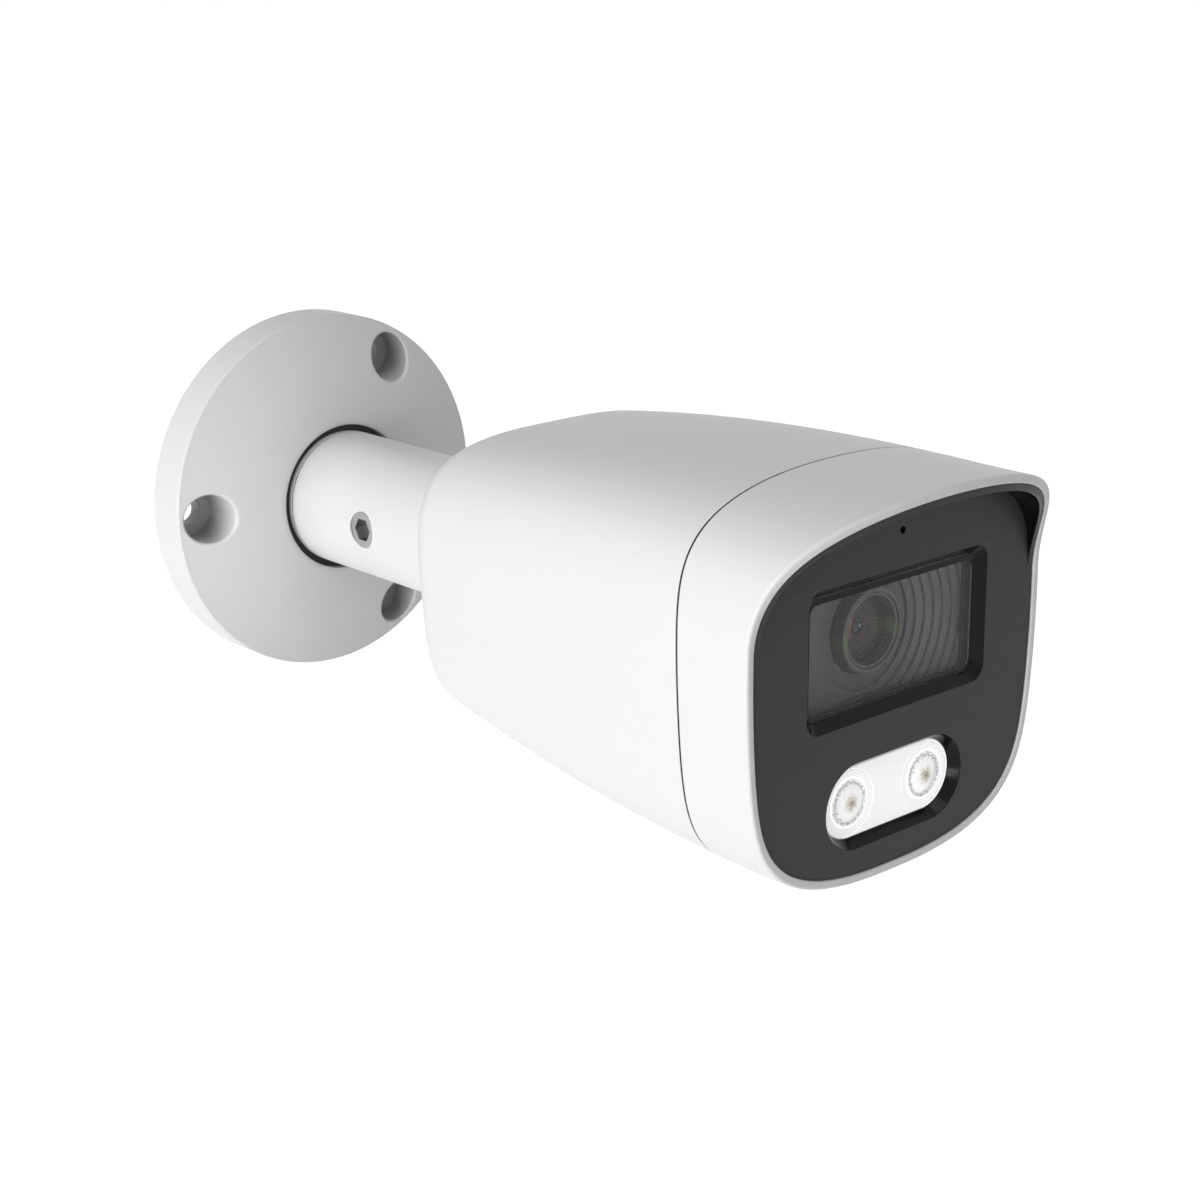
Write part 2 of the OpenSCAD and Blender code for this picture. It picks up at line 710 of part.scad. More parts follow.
module front_mask() color([0.13, 0.13, 0.14]) difference() {
    union() {
        loft([body_ring(mask_back, rim_w + fit_play),
              visor_ring(seam_out, 1, rim_w + fit_play, 0.3, 0.05),
              visor_ring(seam_out, 1, rim_w + liner_w, 0.3, 0.05),
              body_ring(face_out, rim_w + liner_w)]);
        facing(lamp_board_front) for (s = [-1, 1]) translate([s * lamp_screw_x, -lamp_drop, 0])
            cylinder(r = mask_post_r, h = mask_back - lamp_board_front + skin);
        facing(shroud_front) for (s = [-1, 1]) translate([s * shroud_ear_x, lens_z, 0])
            cylinder(r = mask_post_r, h = mask_back - shroud_front + skin);
    }
    facing(face_out) translate([0, lens_z, 0]) bevelled(window_w, window_h, window_r, bevel, glass_depth);
    facing(mask_back - 1) translate([0, lens_z, 0])
        linear_extrude(glass_front - mask_back + 1)
            rounded_rect(inner_w + 2 * glass_edge, inner_h + 2 * glass_edge, window_r);
    facing(face_out) translate([0, -lamp_drop, 0]) bevelled(
        2 * lamp_x + lamp_panel_d + 2 * bevel, lamp_panel_d + 2 * bevel,
        lamp_panel_d / 2 + bevel, bevel, face_out - lamp_panel_front);
    facing(mask_back - 1) translate([0, -lamp_drop, 0]) linear_extrude(mask_t + 1)
        pill(lamp_x, lamp_panel_d / 2);
    facing(mask_back - 1) translate([0, mic_z, 0]) cylinder(d = mic_hole_d, h = mask_t + 2);
    facing(mask_back - 1) translate([0, mic_z, 0]) cylinder(r = boot_r + fit_play, h = 2.2);
    facing(lamp_board_front - 1) for (s = [-1, 1]) translate([s * lamp_screw_x, -lamp_drop, 0])
        cylinder(r = tiny_bore_r, h = 4.5);
    facing(shroud_front - 1) for (s = [-1, 1]) translate([s * shroud_ear_x, lens_z, 0])
        cylinder(r = tiny_bore_r, h = 3.4);
}

module window_glass() color([0.35, 0.37, 0.38, 0.5]) facing(glass_back) translate([0, lens_z, 0])
    linear_extrude(glass_t) rounded_rect(
        glass_w, glass_h, window_r - gasket_play);

module window_gasket() color("black") facing(shroud_front) translate([0, lens_z, 0])
    linear_extrude(gasket_t) difference() {
        rounded_rect(glass_w, glass_h, window_r - gasket_play);
        rounded_rect(inner_w, inner_h, inner_r);
    }

// Stepped funnel round the lens: each step is a flat ring a little further out
module lens_shroud() color([0.16, 0.16, 0.17]) facing(shroud_back) translate([0, lens_z, 0])
    difference() {
        union() {
            linear_extrude(shroud_depth + shroud_t)
                rounded_rect(glass_w, glass_h, window_r - gasket_play);
            for (s = [-1, 1]) translate([s * shroud_ear_x, 0, shroud_depth + shroud_t - ear_t])
                linear_extrude(ear_t) union() {
                    circle(mask_post_r);
                    translate([-s * 3, 0]) square([6, 3], center = true);
                }
        }
        translate([0, 0, -1]) cylinder(r = shroud_hole_r, h = shroud_depth + shroud_t + 2);
        intersection() {
            translate([0, 0, -1]) linear_extrude(shroud_depth + 4)
                rounded_rect(inner_w, inner_h, inner_r);
            for (k = [0:shroud_steps]) translate([0, 0, shroud_t + k * shroud_depth / (shroud_steps + 1)])
                cylinder(r = shroud_hole_r + shroud_first + k * shroud_step, h = shroud_depth + 2);
        }
        translate([0, 0, shroud_t + shroud_depth * 0.96])
            linear_extrude(2) rounded_rect(inner_w, inner_h, inner_r);
        for (s = [-1, 1]) translate([s * shroud_ear_x, 0, 0])
            cylinder(r = tiny_hole_r, h = shroud_depth + 3);
    }

module shroud_screws() color("gray") facing(shroud_front - ear_t) translate([0, lens_z, 0])
    for (s = [-1, 1]) translate([s * shroud_ear_x, 0, 0]) mirror([0, 0, 1])
        pan_screw(tiny_screw_r, 3.2, tiny_head_r, tiny_head_h);

module lens_foam() color("dimgray") facing(plate_front) translate([0, lens_z, 0])
    tube(mount_r + 3.4, mount_r + 0.6, shroud_back - plate_front);

// ---- Chassis, spacers and boards ----

module spacer_places() translate([0, lens_z, 0])
    for (x = [-1, 1], y = [-1, 1]) translate([x * spacer_at, y * spacer_at, 0]) children();

module chassis_plate() color("silver") facing(plate_back) difference() {
    union() {
        translate([0, lens_z, 0]) linear_extrude(plate_t) rounded_rect(board_w, board_w, 3);
        for (p = case_boss_at) translate([p[0], p[1], 0]) disc(case_boss_r, plate_t);
        for (s = [-1, 1]) {
            translate([s * (case_boss_at[0][0] - 3), case_boss_at[0][1], 0])
                translate([-3.5, -2.5, 0]) cube([7, 5, plate_t]);
            translate([s * case_boss_at[2][0], case_boss_at[2][1], 0]) rotate(s * 42)
                translate([-2.5, 0, 0]) cube([5, 10.5, plate_t]);
        }
    }
    translate([0, lens_z, -1]) cylinder(r = mount_r + 0.4, h = plate_t + 2);
    translate([0, 0, -1]) spacer_places() cylinder(r = stud_r + 0.1, h = plate_t + 2);
    translate([0, 0, -1]) at_all(case_boss_at) cylinder(r = case_screw_r + 0.1, h = plate_t + 2);
}

module plate_screws() color("gray") facing(plate_front) spacer_places()
    pan_screw(stud_r - 0.05, plate_t + 3.5, small_head_r, small_head_h);

module spacer() difference() {
    union() {
        cylinder(r = spacer_r, h = spacer_len);
        translate([0, 0, -board_t - stud_len + 0.3]) cylinder(r = stud_r - 0.05, h = board_t + stud_len);
    }
    translate([0, 0, spacer_len - 5]) cylinder(r = stud_r, h = 6);
}

module board_spacers() color("goldenrod") {
    facing(sensor_front) spacer_places() spacer();
    facing(main_front) spacer_places() spacer();
    facing(power_front) spacer_places() difference() {
        cylinder(r = spacer_r, h = spacer_len);
        translate([0, 0, -1]) cylinder(r = stud_r, h = spacer_len + 2);
    }
}

module board_screws() color("gray") facing(power_back) spacer_places() mirror([0, 0, 1])
    pan_screw(stud_r - 0.05, board_t + 3.5, small_head_r, small_head_h);

module board(out) facing(out) difference() {
    translate([0, lens_z, 0]) linear_extrude(board_t) rounded_rect(board_w, board_w, 2);
    translate([0, 0, -1]) spacer_places() cylinder(r = stud_r + 0.1, h = board_t + 2);
}

module sensor_board() color("darkgreen") board(sensor_back);
module main_board() color("darkgreen") board(main_back);
module power_board() color("darkgreen") board(power_back);

module block(size, at, out) facing(out) translate([at[0] - size[0] / 2, at[1] - size[1] / 2, 0])
    cube(size);

module image_sensor() color([0.25, 0.25, 0.35]) union() {
    block([9.6, 8.4, 1.2], [0, lens_z], sensor_front);
    block([7.6, 5.2, 0.4], [0, lens_z], sensor_front + 1.2 - skin);
}

module lens_mount() color([0.12, 0.12, 0.12]) difference() {
    union() {
        facing(sensor_front) translate([0, lens_z, 0])
            linear_extrude(mount_base_t) rounded_rect(mount_base_w, mount_base_h, 1.5);
        facing(sensor_front + mount_base_t - skin) translate([0, lens_z, 0])
            cylinder(r = mount_r, h = mount_top - sensor_front - mount_base_t + skin);
    }
    facing(sensor_front - 1) translate([0, lens_z, 0])
        linear_extrude(3) rounded_rect(12, 11, 1);
    block([filter_w * 2 + 1.6 + filter_travel + 0.6, filter_frame_h + 0.2, filter_frame_t + 0.2],
          [0, lens_z], filter_back - 0.1);
    facing(sensor_front) translate([0, lens_z, 0]) cylinder(r = 3.4, h = mount_top);
    facing(filter_back + filter_frame_t + 1) translate([0, lens_z, 0])
        cylinder(r = thread_r + fit_play, h = mount_top);
    // Slot that lets the filter's tab out to the coil
    block([filter_travel + 4, 6, filter_frame_t + 0.2],
          [-filter_travel / 2 + 4, lens_z + mount_base_h / 2 - 1.5], filter_back - 0.1);
}

module filter_frame() color("dimgray") union() {
    difference() {
        block([filter_w * 2 + 1.6, filter_frame_h, filter_frame_t],
              [filter_travel / 2, lens_z], filter_back);
        for (x = [0, filter_travel]) block([filter_w - 0.8, filter_w - 0.8, 4],
                                           [x, lens_z], filter_back - 1);
    }
    block([2, filter_tab, filter_frame_t],
          [filter_travel / 2, lens_z + (filter_frame_h + filter_tab) / 2 - skin], filter_back);
    facing(filter_back + filter_frame_t / 2)
        translate([filter_travel / 2 + 1, lens_z + plunger_z, 0]) rotate([0, 90, 0])
            cylinder(r = plunger_r, h = coil_len + 0.8, $fn = 32);
}

module day_filter() color([0.35, 0.75, 0.85, 0.6])
    block([filter_w - 0.9, filter_w - 0.9, 0.5], [0, lens_z], filter_back + 0.4);

module night_filter() color([0.9, 0.9, 0.95, 0.5])
    block([filter_w - 0.9, filter_w - 0.9, 0.5], [filter_travel, lens_z], filter_back + 0.4);

module filter_coil() color("orange") facing(filter_back + filter_frame_t / 2)
    translate([filter_travel / 2 + 1.6, lens_z + plunger_z, 0]) rotate([0, 90, 0])
        tube(coil_r, plunger_r + turn_play, coil_len);

module lens_lock_ring() color("black") facing(mount_top) translate([0, lens_z, 0])
    tube(mount_r, thread_r + fit_play, lock_ring_t);

module lens_barrel() color([0.1, 0.1, 0.1]) facing(0) translate([0, lens_z, 0]) difference() {
    union() {
        translate([0, 0, filter_back + filter_frame_t + 2])
            cylinder(r = thread_r, h = lens_head_back - filter_back - filter_frame_t - 2 + skin);
        translate([0, 0, lens_head_back]) cylinder(d = lens_head_d, h = lens_head_len);
    }
    translate([0, 0, filter_back]) cylinder(r = lens_bore_r, h = lens_front);
    translate([0, 0, lens_head_back + front_seat])
        cylinder(r = front_lens_r + fit_play, h = lens_head_len + 1);
}

module front_lens() color([0.2, 0.25, 0.3, 0.6]) facing(lens_head_back + front_seat)
    translate([0, lens_z, 0]) intersection() {
        cylinder(r = front_lens_r, h = front_lens_t + 1);
        translate([0, 0, front_lens_t - front_dome_r]) sphere(r = front_dome_r, $fn = 96);
    }

module rear_lens() color([0.2, 0.25, 0.3, 0.6]) facing(filter_back + filter_frame_t + 2.3)
    translate([0, lens_z, 0]) cylinder(r = lens_bore_r - fit_play, h = rear_lens_t);

module processor() color([0.15, 0.15, 0.15])
    block([chip_w, chip_w, chip_t], [0, lens_z], main_back - chip_t);

module thermal_pad() color("lightblue")
    block([chip_w, chip_w, pad_t], [0, lens_z], main_back - chip_t - pad_t);

module heat_sink() color("silver") difference() {
    block([sink_w, sink_w, sink_t], [0, lens_z], sink_back);
    for (x = [-2:2])
        block([fin_gap, sink_w + 2, sink_t], [x * fin_pitch, lens_z], sink_back - fin_gap);
}

module memory_chips() color([0.15, 0.15, 0.15])
    for (s = [-1, 1]) block([8, 11, 1], [s * 8, lens_z + 3], main_front);

module board_connectors() color("ivory") {
    block([connector_size[1], connector_size[0], spacer_len], [0, lens_z - board_w / 2 + 4], main_front);
    block([connector_size[1], connector_size[0], spacer_len], [0, lens_z - board_w / 2 + 4], power_front);
}

module network_transformer() color([0.1, 0.1, 0.1])
    block([16, 10, header_t], [0, lens_z + 9], power_back - header_t);

module capacitors() color("royalblue") facing(power_back - capacitor_len)
    for (s = [-1, 1]) translate([s * 12, lens_z - 2, 0]) cylinder(r = 3, h = capacitor_len);

module cable_header() color("white") difference() {
    block([14, 6, header_t], [0, lens_z - 8], power_back - header_t);
    block([12.4, 4.4, header_t - 1], [0, lens_z - 8], power_back - header_t - 1);
}

module desiccant_pack() color("white")
    block(desiccant_size, [0, lens_z - board_w / 2 + desiccant_size[1] / 2],
          power_back - desiccant_size[2]);

// ---- Lamps and microphone ----

module lamp_board() color("white") facing(lamp_board_front - lamp_board_t)
    translate([0, -lamp_drop, 0]) linear_extrude(lamp_board_t) difference() {
        pill(lamp_screw_x, 4.6);
        for (s = [-1, 1]) translate([s * lamp_screw_x, 0]) circle(tiny_hole_r);
    }

module lamp_chips() color("khaki") for (s = [-1, 1])
    block([lamp_chip_w, lamp_chip_w, lamp_chip_t], [s * lamp_x, -lamp_drop], lamp_board_front);

module lamp_lenses() color([0.9, 0.92, 0.95, 0.7]) facing(lamp_board_front)
    for (s = [-1, 1]) translate([s * lamp_x, -lamp_drop, 0]) difference() {
        union() {
            cylinder(d = lamp_lens_d, h = lamp_lens_h);
            translate([0, 0, lamp_lens_h - skin]) intersection() {
                cylinder(d = lamp_lens_d, h = lamp_dome_h);
                translate([0, 0, lamp_dome_h - lamp_dome_r]) sphere(r = lamp_dome_r, $fn = 96);
            }
        }
        translate([0, 0, -1]) cylinder(r = lamp_chip_bore_r, h = 1 + lamp_chip_t + 0.5);
    }

module lamp_panel() color("white") facing(lamp_panel_back) translate([0, -lamp_drop, 0])
    linear_extrude(lamp_panel_t) difference() {
        pill(lamp_x, lamp_panel_d / 2 - fit_play);
        for (s = [-1, 1]) translate([s * lamp_x, 0]) circle(lamp_lens_d / 2 + fit_play);
    }

module lamp_screws() color("gray") facing(lamp_board_front - lamp_board_t)
    for (s = [-1, 1]) translate([s * lamp_screw_x, -lamp_drop, 0]) mirror([0, 0, 1])
        pan_screw(tiny_screw_r, 4, tiny_head_r, tiny_head_h);

module mic_boot() color([0.08, 0.08, 0.08]) facing(mask_back - mic_set) translate([0, mic_z, 0])
    difference() {
        cylinder(r = boot_r, h = 3);
        translate([0, 0, -1]) cylinder(r = mic_r + fit_play, h = 1 + mic_t + 0.2);
        translate([0, 0, -1]) cylinder(d = mic_hole_d, h = 6);
    }

module microphone() color("silver") facing(mask_back - mic_set) translate([0, mic_z, 0])
    cylinder(r = mic_r, h = mic_t);

base_plate();
pivot_spigot();
spigot_screws();
cable_grommet();
foot_seal();
arm_tube();
ball_stud();
lock_screw();
ball_cup();
ball_seat();
seat_nut();
tilt_pins();
rear_housing();
friction_washer();
cup_retainer();
retainer_screws();
housing_seal();
front_ring();
mask_seal();
front_mask();
window_glass();
window_gasket();
lens_shroud();
shroud_screws();
lens_foam();
case_screws();
chassis_plate();
plate_screws();
board_spacers();
board_screws();
sensor_board();
image_sensor();
lens_mount();
lens_lock_ring();
lens_barrel();
front_lens();
rear_lens();
filter_frame();
day_filter();
night_filter();
filter_coil();
main_board();
processor();
thermal_pad();
heat_sink();
memory_chips();
board_connectors();
power_board();
network_transformer();
capacitors();
cable_header();
lamp_board();
lamp_chips();
lamp_lenses();
lamp_panel();
lamp_screws();
microphone();
mic_boot();
desiccant_pack();
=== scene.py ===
# %% [markdown]
# # A bullet security camera
# The object is a white camera body on a ball joint, a hollow arm and a round wall base. Its pieces,
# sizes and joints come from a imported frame, and this lesson gives them their looks. The frame is loaded
# first, so that every measure below can be read from it instead of being typed again.

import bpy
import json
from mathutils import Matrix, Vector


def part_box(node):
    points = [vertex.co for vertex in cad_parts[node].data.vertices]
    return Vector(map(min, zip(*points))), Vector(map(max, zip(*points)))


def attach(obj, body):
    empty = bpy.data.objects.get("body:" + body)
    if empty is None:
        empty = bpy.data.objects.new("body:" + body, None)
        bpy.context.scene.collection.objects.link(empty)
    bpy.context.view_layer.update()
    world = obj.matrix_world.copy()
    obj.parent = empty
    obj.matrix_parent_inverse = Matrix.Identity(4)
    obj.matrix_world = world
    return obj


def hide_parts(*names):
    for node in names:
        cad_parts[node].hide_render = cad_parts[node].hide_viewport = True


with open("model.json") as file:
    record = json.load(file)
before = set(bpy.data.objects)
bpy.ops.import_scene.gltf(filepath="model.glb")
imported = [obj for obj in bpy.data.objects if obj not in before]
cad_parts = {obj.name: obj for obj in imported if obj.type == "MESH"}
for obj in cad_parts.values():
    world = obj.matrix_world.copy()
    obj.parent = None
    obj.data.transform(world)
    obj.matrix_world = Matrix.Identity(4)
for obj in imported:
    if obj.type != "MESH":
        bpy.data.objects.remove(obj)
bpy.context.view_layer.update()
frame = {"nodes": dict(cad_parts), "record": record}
nodes = frame["nodes"]

# %% [markdown]
# Blender works in metres, while small products are drawn in millimetres. Two helpers turn one into the
# other. The wall is the plane Y = 0 and the camera looks along -Y, so a distance "out" from the wall is
# minus Y. Keeping that one habit makes every profile below read like a drawing of the object.

# %% Units and the "out" direction
import json
import math

import bmesh
import bpy
from mathutils import Matrix, Vector
from mathutils.geometry import tessellate_polygon
from mathutils.kdtree import KDTree

MM = 0.001


def place(x, out, z):
    """A point in metres from millimetres: across, out from the wall, and up."""
    return Vector((x * MM, -out * MM, z * MM))


def span(node):
    """Near and far distance from the wall, and the lowest and highest X and Z, in millimetres."""
    low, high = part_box(node)
    return {"near": -high.y / MM, "far": -low.y / MM, "x": high.x / MM,
            "bottom": low.z / MM, "top": high.z / MM}


ring = span("front_ring")
shell = span("rear_housing")
glass = span("window_glass")
print("body from", round(shell["near"], 2), "to", round(ring["far"], 2), "mm out")

# %% [markdown]
# ## The view
# The camera stands in front, to the left and a little above, which shows the face, the long side and the
# base at once. A long lens keeps the perspective calm. The camera is placed by its angles and turned by
# its three axes, because a small roll can't be given by a target alone.

# %% Camera
AZIMUTH = math.radians(-41.87)
ELEVATION = math.radians(17.20)
ROLL = math.radians(-0.58)
STAND = place(-257.40, 375.63, 114.62)
LENS = 69.58

back = Vector((math.sin(AZIMUTH) * math.cos(ELEVATION), -math.cos(AZIMUTH) * math.cos(ELEVATION),
               math.sin(ELEVATION)))
right = Vector((math.cos(AZIMUTH), math.sin(AZIMUTH), 0))
up = back.cross(right)
right_rolled = math.cos(ROLL) * right + math.sin(ROLL) * up
up_rolled = math.cos(ROLL) * up - math.sin(ROLL) * right

camera = bpy.data.objects.new("view_camera", bpy.data.cameras.new("view_camera"))
camera.data.lens = LENS
camera.data.sensor_width = 36
camera.data.clip_start = 0.01
turn = Matrix((right_rolled, up_rolled, back)).transposed()
camera.matrix_world = Matrix.Translation(STAND) @ turn.to_4x4()
bpy.context.scene.collection.objects.link(camera)
bpy.context.scene.camera = camera
print("camera at", tuple(round(v, 3) for v in STAND))

# %% [markdown]
# ## The studio
# A white product is shown by the difference between its sides, so the light comes mostly from the left
# and a little below, and the top stays a shade darker. The world gives an even fill. It is pure white
# only where the camera, a reflection or a glass looks at it, which keeps the backdrop white without
# pouring more light on the object.

# %% World
FILL = 0.25


def seen_directly(tree):
    """1 where the camera, a reflection or a glass looks, and 0 for light that falls on the object."""
    path = tree.nodes.new("ShaderNodeLightPath")
    total = path.outputs["Is Camera Ray"]
    for ray in ("Is Glossy Ray", "Is Transmission Ray"):
        either = tree.nodes.new("ShaderNodeMath")
        either.operation = "MAXIMUM"
        tree.links.new(total, either.inputs[0])
        tree.links.new(path.outputs[ray], either.inputs[1])
        total = either.outputs[0]
    return total


world = bpy.data.worlds.new("studio")
bpy.context.scene.world = world
world.use_nodes = True
tree = world.node_tree
tree.nodes.clear()
level = tree.nodes.new("ShaderNodeMapRange")
level.inputs["To Min"].default_value = FILL
level.inputs["To Max"].default_value = 1.0
tree.links.new(seen_directly(tree), level.inputs["Value"])
sky = tree.nodes.new("ShaderNodeBackground")
sky.inputs["Color"].default_value = (1, 1, 1, 1)
tree.links.new(level.outputs["Result"], sky.inputs["Strength"])
out_node = tree.nodes.new("ShaderNodeOutputWorld")
tree.links.new(sky.outputs[0], out_node.inputs["Surface"])
bpy.context.scene.view_settings.view_transform = "Standard"
print("world fill", FILL)

# %% Lamps
BODY_MIDDLE = (0, -0.1, 0)


def softbox(name, at, size, power):
    """A square area lamp that faces the middle of the object."""
    lamp = bpy.data.objects.new(name, bpy.data.lights.new(name, "AREA"))
    lamp.data.size = size
    lamp.data.energy = power
    lamp.location = at
    aim = Vector(BODY_MIDDLE) - Vector(at)
    lamp.rotation_euler = aim.to_track_quat("-Z", "Y").to_euler()
    bpy.context.scene.collection.objects.link(lamp)
    return lamp


softbox("left_softbox", (-1.25, -0.30, -0.30), 1.1, 29)
softbox("top_softbox", (0.1, -0.5, 1.4), 0.9, 4.8)
print("two soft lamps")

# %% [markdown]
# ## The floor
# The camera hangs on a wall, so the floor lies well below it. It is a plain pale plane. Looked at
# directly it also glows a little, which lifts it to white where nothing shades it, and because the glow is
# only added to the lit surface, the shadow of the object still shows on it.

# %% Floor
FLOOR_DROP = 0.30
FLOOR_SIZE = 12.0
PAPER_SHADE = 0.86

floor_mesh = bpy.data.meshes.new("floor")
half = FLOOR_SIZE / 2
floor_mesh.from_pydata([(-half, -half, -FLOOR_DROP), (half, -half, -FLOOR_DROP),
                        (half, half, -FLOOR_DROP), (-half, half, -FLOOR_DROP)], [], [(0, 1, 2, 3)])
floor = bpy.data.objects.new("floor", floor_mesh)
bpy.context.scene.collection.objects.link(floor)
paper = bpy.data.materials.new("pale_paper")
paper.use_nodes = True
tree = paper.node_tree
tree.nodes.clear()
lit = tree.nodes.new("ShaderNodeBsdfDiffuse")
lit.inputs["Color"].default_value = (PAPER_SHADE, PAPER_SHADE, PAPER_SHADE, 1)
glow = tree.nodes.new("ShaderNodeEmission")
dim = tree.nodes.new("ShaderNodeMath")
dim.operation = "MULTIPLY"
dim.inputs[1].default_value = PAPER_SHADE
tree.links.new(seen_directly(tree), dim.inputs[0])
tree.links.new(dim.outputs[0], glow.inputs["Strength"])
both = tree.nodes.new("ShaderNodeAddShader")
tree.links.new(lit.outputs[0], both.inputs[0])
tree.links.new(glow.outputs[0], both.inputs[1])
sheet_out = tree.nodes.new("ShaderNodeOutputMaterial")
tree.links.new(both.outputs[0], sheet_out.inputs["Surface"])
floor_mesh.materials.append(paper)
print("floor", FLOOR_DROP, "m below the base's centre")

# %% [markdown]
# ## A small kit for finishes
# Every finish here is the same recipe with other numbers: a Principled shader, a fine unevenness in
# colour and roughness, and a bump at the scale of the real surface. Object coordinates are used, since
# each piece keeps its place in the mesh, so a texture stays fixed to its piece when a joint moves it.

# %% Finish helpers


def new_finish(name, colour, roughness, metallic=0.0, **sockets):
    """A Principled material. Extra sockets are given by name, with _ for a space."""
    mat = bpy.data.materials.new(name)
    mat.use_nodes = True
    bsdf = mat.node_tree.nodes["Principled BSDF"]
    bsdf.inputs["Base Color"].default_value = (*colour, 1)
    bsdf.inputs["Roughness"].default_value = roughness
    bsdf.inputs["Metallic"].default_value = metallic
    for key, value in sockets.items():
        bsdf.inputs[key.replace("_", " ")].default_value = value
    return mat


def object_coords(mat, scale=(1, 1, 1)):
    """Object coordinates, stretched by the scale."""
    tree = mat.node_tree
    coords = tree.nodes.new("ShaderNodeTexCoord")
    mapping = tree.nodes.new("ShaderNodeMapping")
    mapping.inputs["Scale"].default_value = scale
    tree.links.new(coords.outputs["Object"], mapping.inputs["Vector"])
    return mapping.outputs["Vector"]


def noise(mat, size_mm, detail=3.0, stretch=(1, 1, 1)):
    """A noise whose blobs are about that many millimetres wide."""
    tree = mat.node_tree
    tex = tree.nodes.new("ShaderNodeTexNoise")
    tex.inputs["Scale"].default_value = 1 / (size_mm * MM)
    tex.inputs["Detail"].default_value = detail
    tree.links.new(object_coords(mat, stretch), tex.inputs["Vector"])
    return tex.outputs["Fac"]


def remap(mat, value, low, high):
    """The value, turned from 0..1 into low..high."""
    tree = mat.node_tree
    node = tree.nodes.new("ShaderNodeMapRange")
    node.inputs["To Min"].default_value = low
    node.inputs["To Max"].default_value = high
    tree.links.new(value, node.inputs["Value"])
    return node.outputs["Result"]


def mix_colour(mat, factor, first, second):
    """A colour between two, by a factor. Each is a colour or a socket."""
    tree = mat.node_tree
    node = tree.nodes.new("ShaderNodeMix")
    node.data_type = "RGBA"
    tree.links.new(factor, node.inputs["Factor"])
    for socket, value in (("A", first), ("B", second)):
        target = [s for s in node.inputs if s.name == socket and s.type == "RGBA"][0]
        if isinstance(value, tuple):
            target.default_value = (*value, 1)
        else:
            tree.links.new(value, target)
    return [s for s in node.outputs if s.type == "RGBA"][0]


def shader(mat):
    return mat.node_tree.nodes["Principled BSDF"]


def colour_by(mat, socket):
    mat.node_tree.links.new(socket, shader(mat).inputs["Base Color"])


def uneven(mat, size_mm, shade=0.04, rough=0.06, detail=3.0, stretch=(1, 1, 1)):
    """Lets the colour and the roughness wander a little."""
    bsdf = shader(mat)
    base = tuple(bsdf.inputs["Base Color"].default_value[:3])
    roughness = bsdf.inputs["Roughness"].default_value
    value = noise(mat, size_mm, detail, stretch)
    colour_by(mat, mix_colour(mat, value, tuple(c * (1 - shade) for c in base),
                              tuple(min(1, c * (1 + shade)) for c in base)))
    mat.node_tree.links.new(remap(mat, value, max(0.02, roughness - rough), min(1, roughness + rough)),
                            bsdf.inputs["Roughness"])
    return mat


def bump(mat, height, depth_mm):
    """Raises the surface by a height map, on top of any bump it already has."""
    tree = mat.node_tree
    node = tree.nodes.new("ShaderNodeBump")
    node.inputs["Strength"].default_value = 1.0
    node.inputs["Distance"].default_value = depth_mm * MM
    tree.links.new(height, node.inputs["Height"])
    target = shader(mat).inputs["Normal"]
    if target.is_linked:
        tree.links.new(target.links[0].from_socket, node.inputs["Normal"])
    tree.links.new(node.outputs["Normal"], target)
    return mat


def rough_skin(mat, size_mm, depth_mm, detail=2.0, stretch=(1, 1, 1)):
    """A fine even grain, such as powder coat or moulding texture."""
    return bump(mat, noise(mat, size_mm, detail, stretch), depth_mm)


print("finish helpers ready")

# %% [markdown]
# ## White powder coat
# The base, the arm and the body are cast aluminium with a baked white powder. Up close it has a very
# fine orange-peel grain, and the sheen is broad, not glossy. Two bumps are stacked: a fine grain, and a
# wider, fainter ripple that keeps the long highlights from looking computed. An ambient occlusion node
# greys the colour in holes and corners: painted shade.

# %% White coat
WHITE = (0.80, 0.80, 0.80)
CREVICE_REACH, CREVICE_SHADE = 14, 0.54

white_coat = new_finish("white_powder_coat", WHITE, 0.46)
uneven(white_coat, 1.1, shade=0.012, rough=0.05)
rough_skin(white_coat, 0.45, 0.010)
rough_skin(white_coat, 3.5, 0.012, detail=1.0)
# Painted shade: the ambient occlusion node darkens the colour in holes, corners and gaps between parts.
painted_crevice_shade = white_coat.node_tree.nodes.new("ShaderNodeAmbientOcclusion")
painted_crevice_shade.inputs["Distance"].default_value = CREVICE_REACH * MM
painted_crevice_shade.samples = 8
unshaded_colour = shader(white_coat).inputs["Base Color"].links[0].from_socket
colour_by(white_coat, mix_colour(white_coat, painted_crevice_shade.outputs["AO"],
                                 tuple(CREVICE_SHADE * c for c in WHITE), unshaded_colour))
print("white coat", WHITE)

# %% [markdown]
# ## The dark plastics
# The face mask is moulded in charcoal plastic. Its flat face is spark-textured to a satin grey. The
# walls of its recesses and the liner of the visor come off polished steel, so they are a deep gloss
# black. Two finishes on one moulding give the crisp step between them. The shroud behind the glass
# has paler treads and darker risers, painted light and shade, so its steps show.

# %% Dark plastics
mask_black = new_finish("mask_black", (0.042, 0.042, 0.0425), 0.50, Specular_IOR_Level=0.22)
uneven(mask_black, 0.9, shade=0.05, rough=0.05, stretch=(1, 1, 0.25))
rough_skin(mask_black, 0.30, 0.0035)

gloss_black = new_finish("mask_gloss_black", (0.004, 0.004, 0.0045), 0.16, Specular_IOR_Level=0.13)
uneven(gloss_black, 0.8, shade=0.2, rough=0.04)
rough_skin(gloss_black, 0.8, 0.0008)

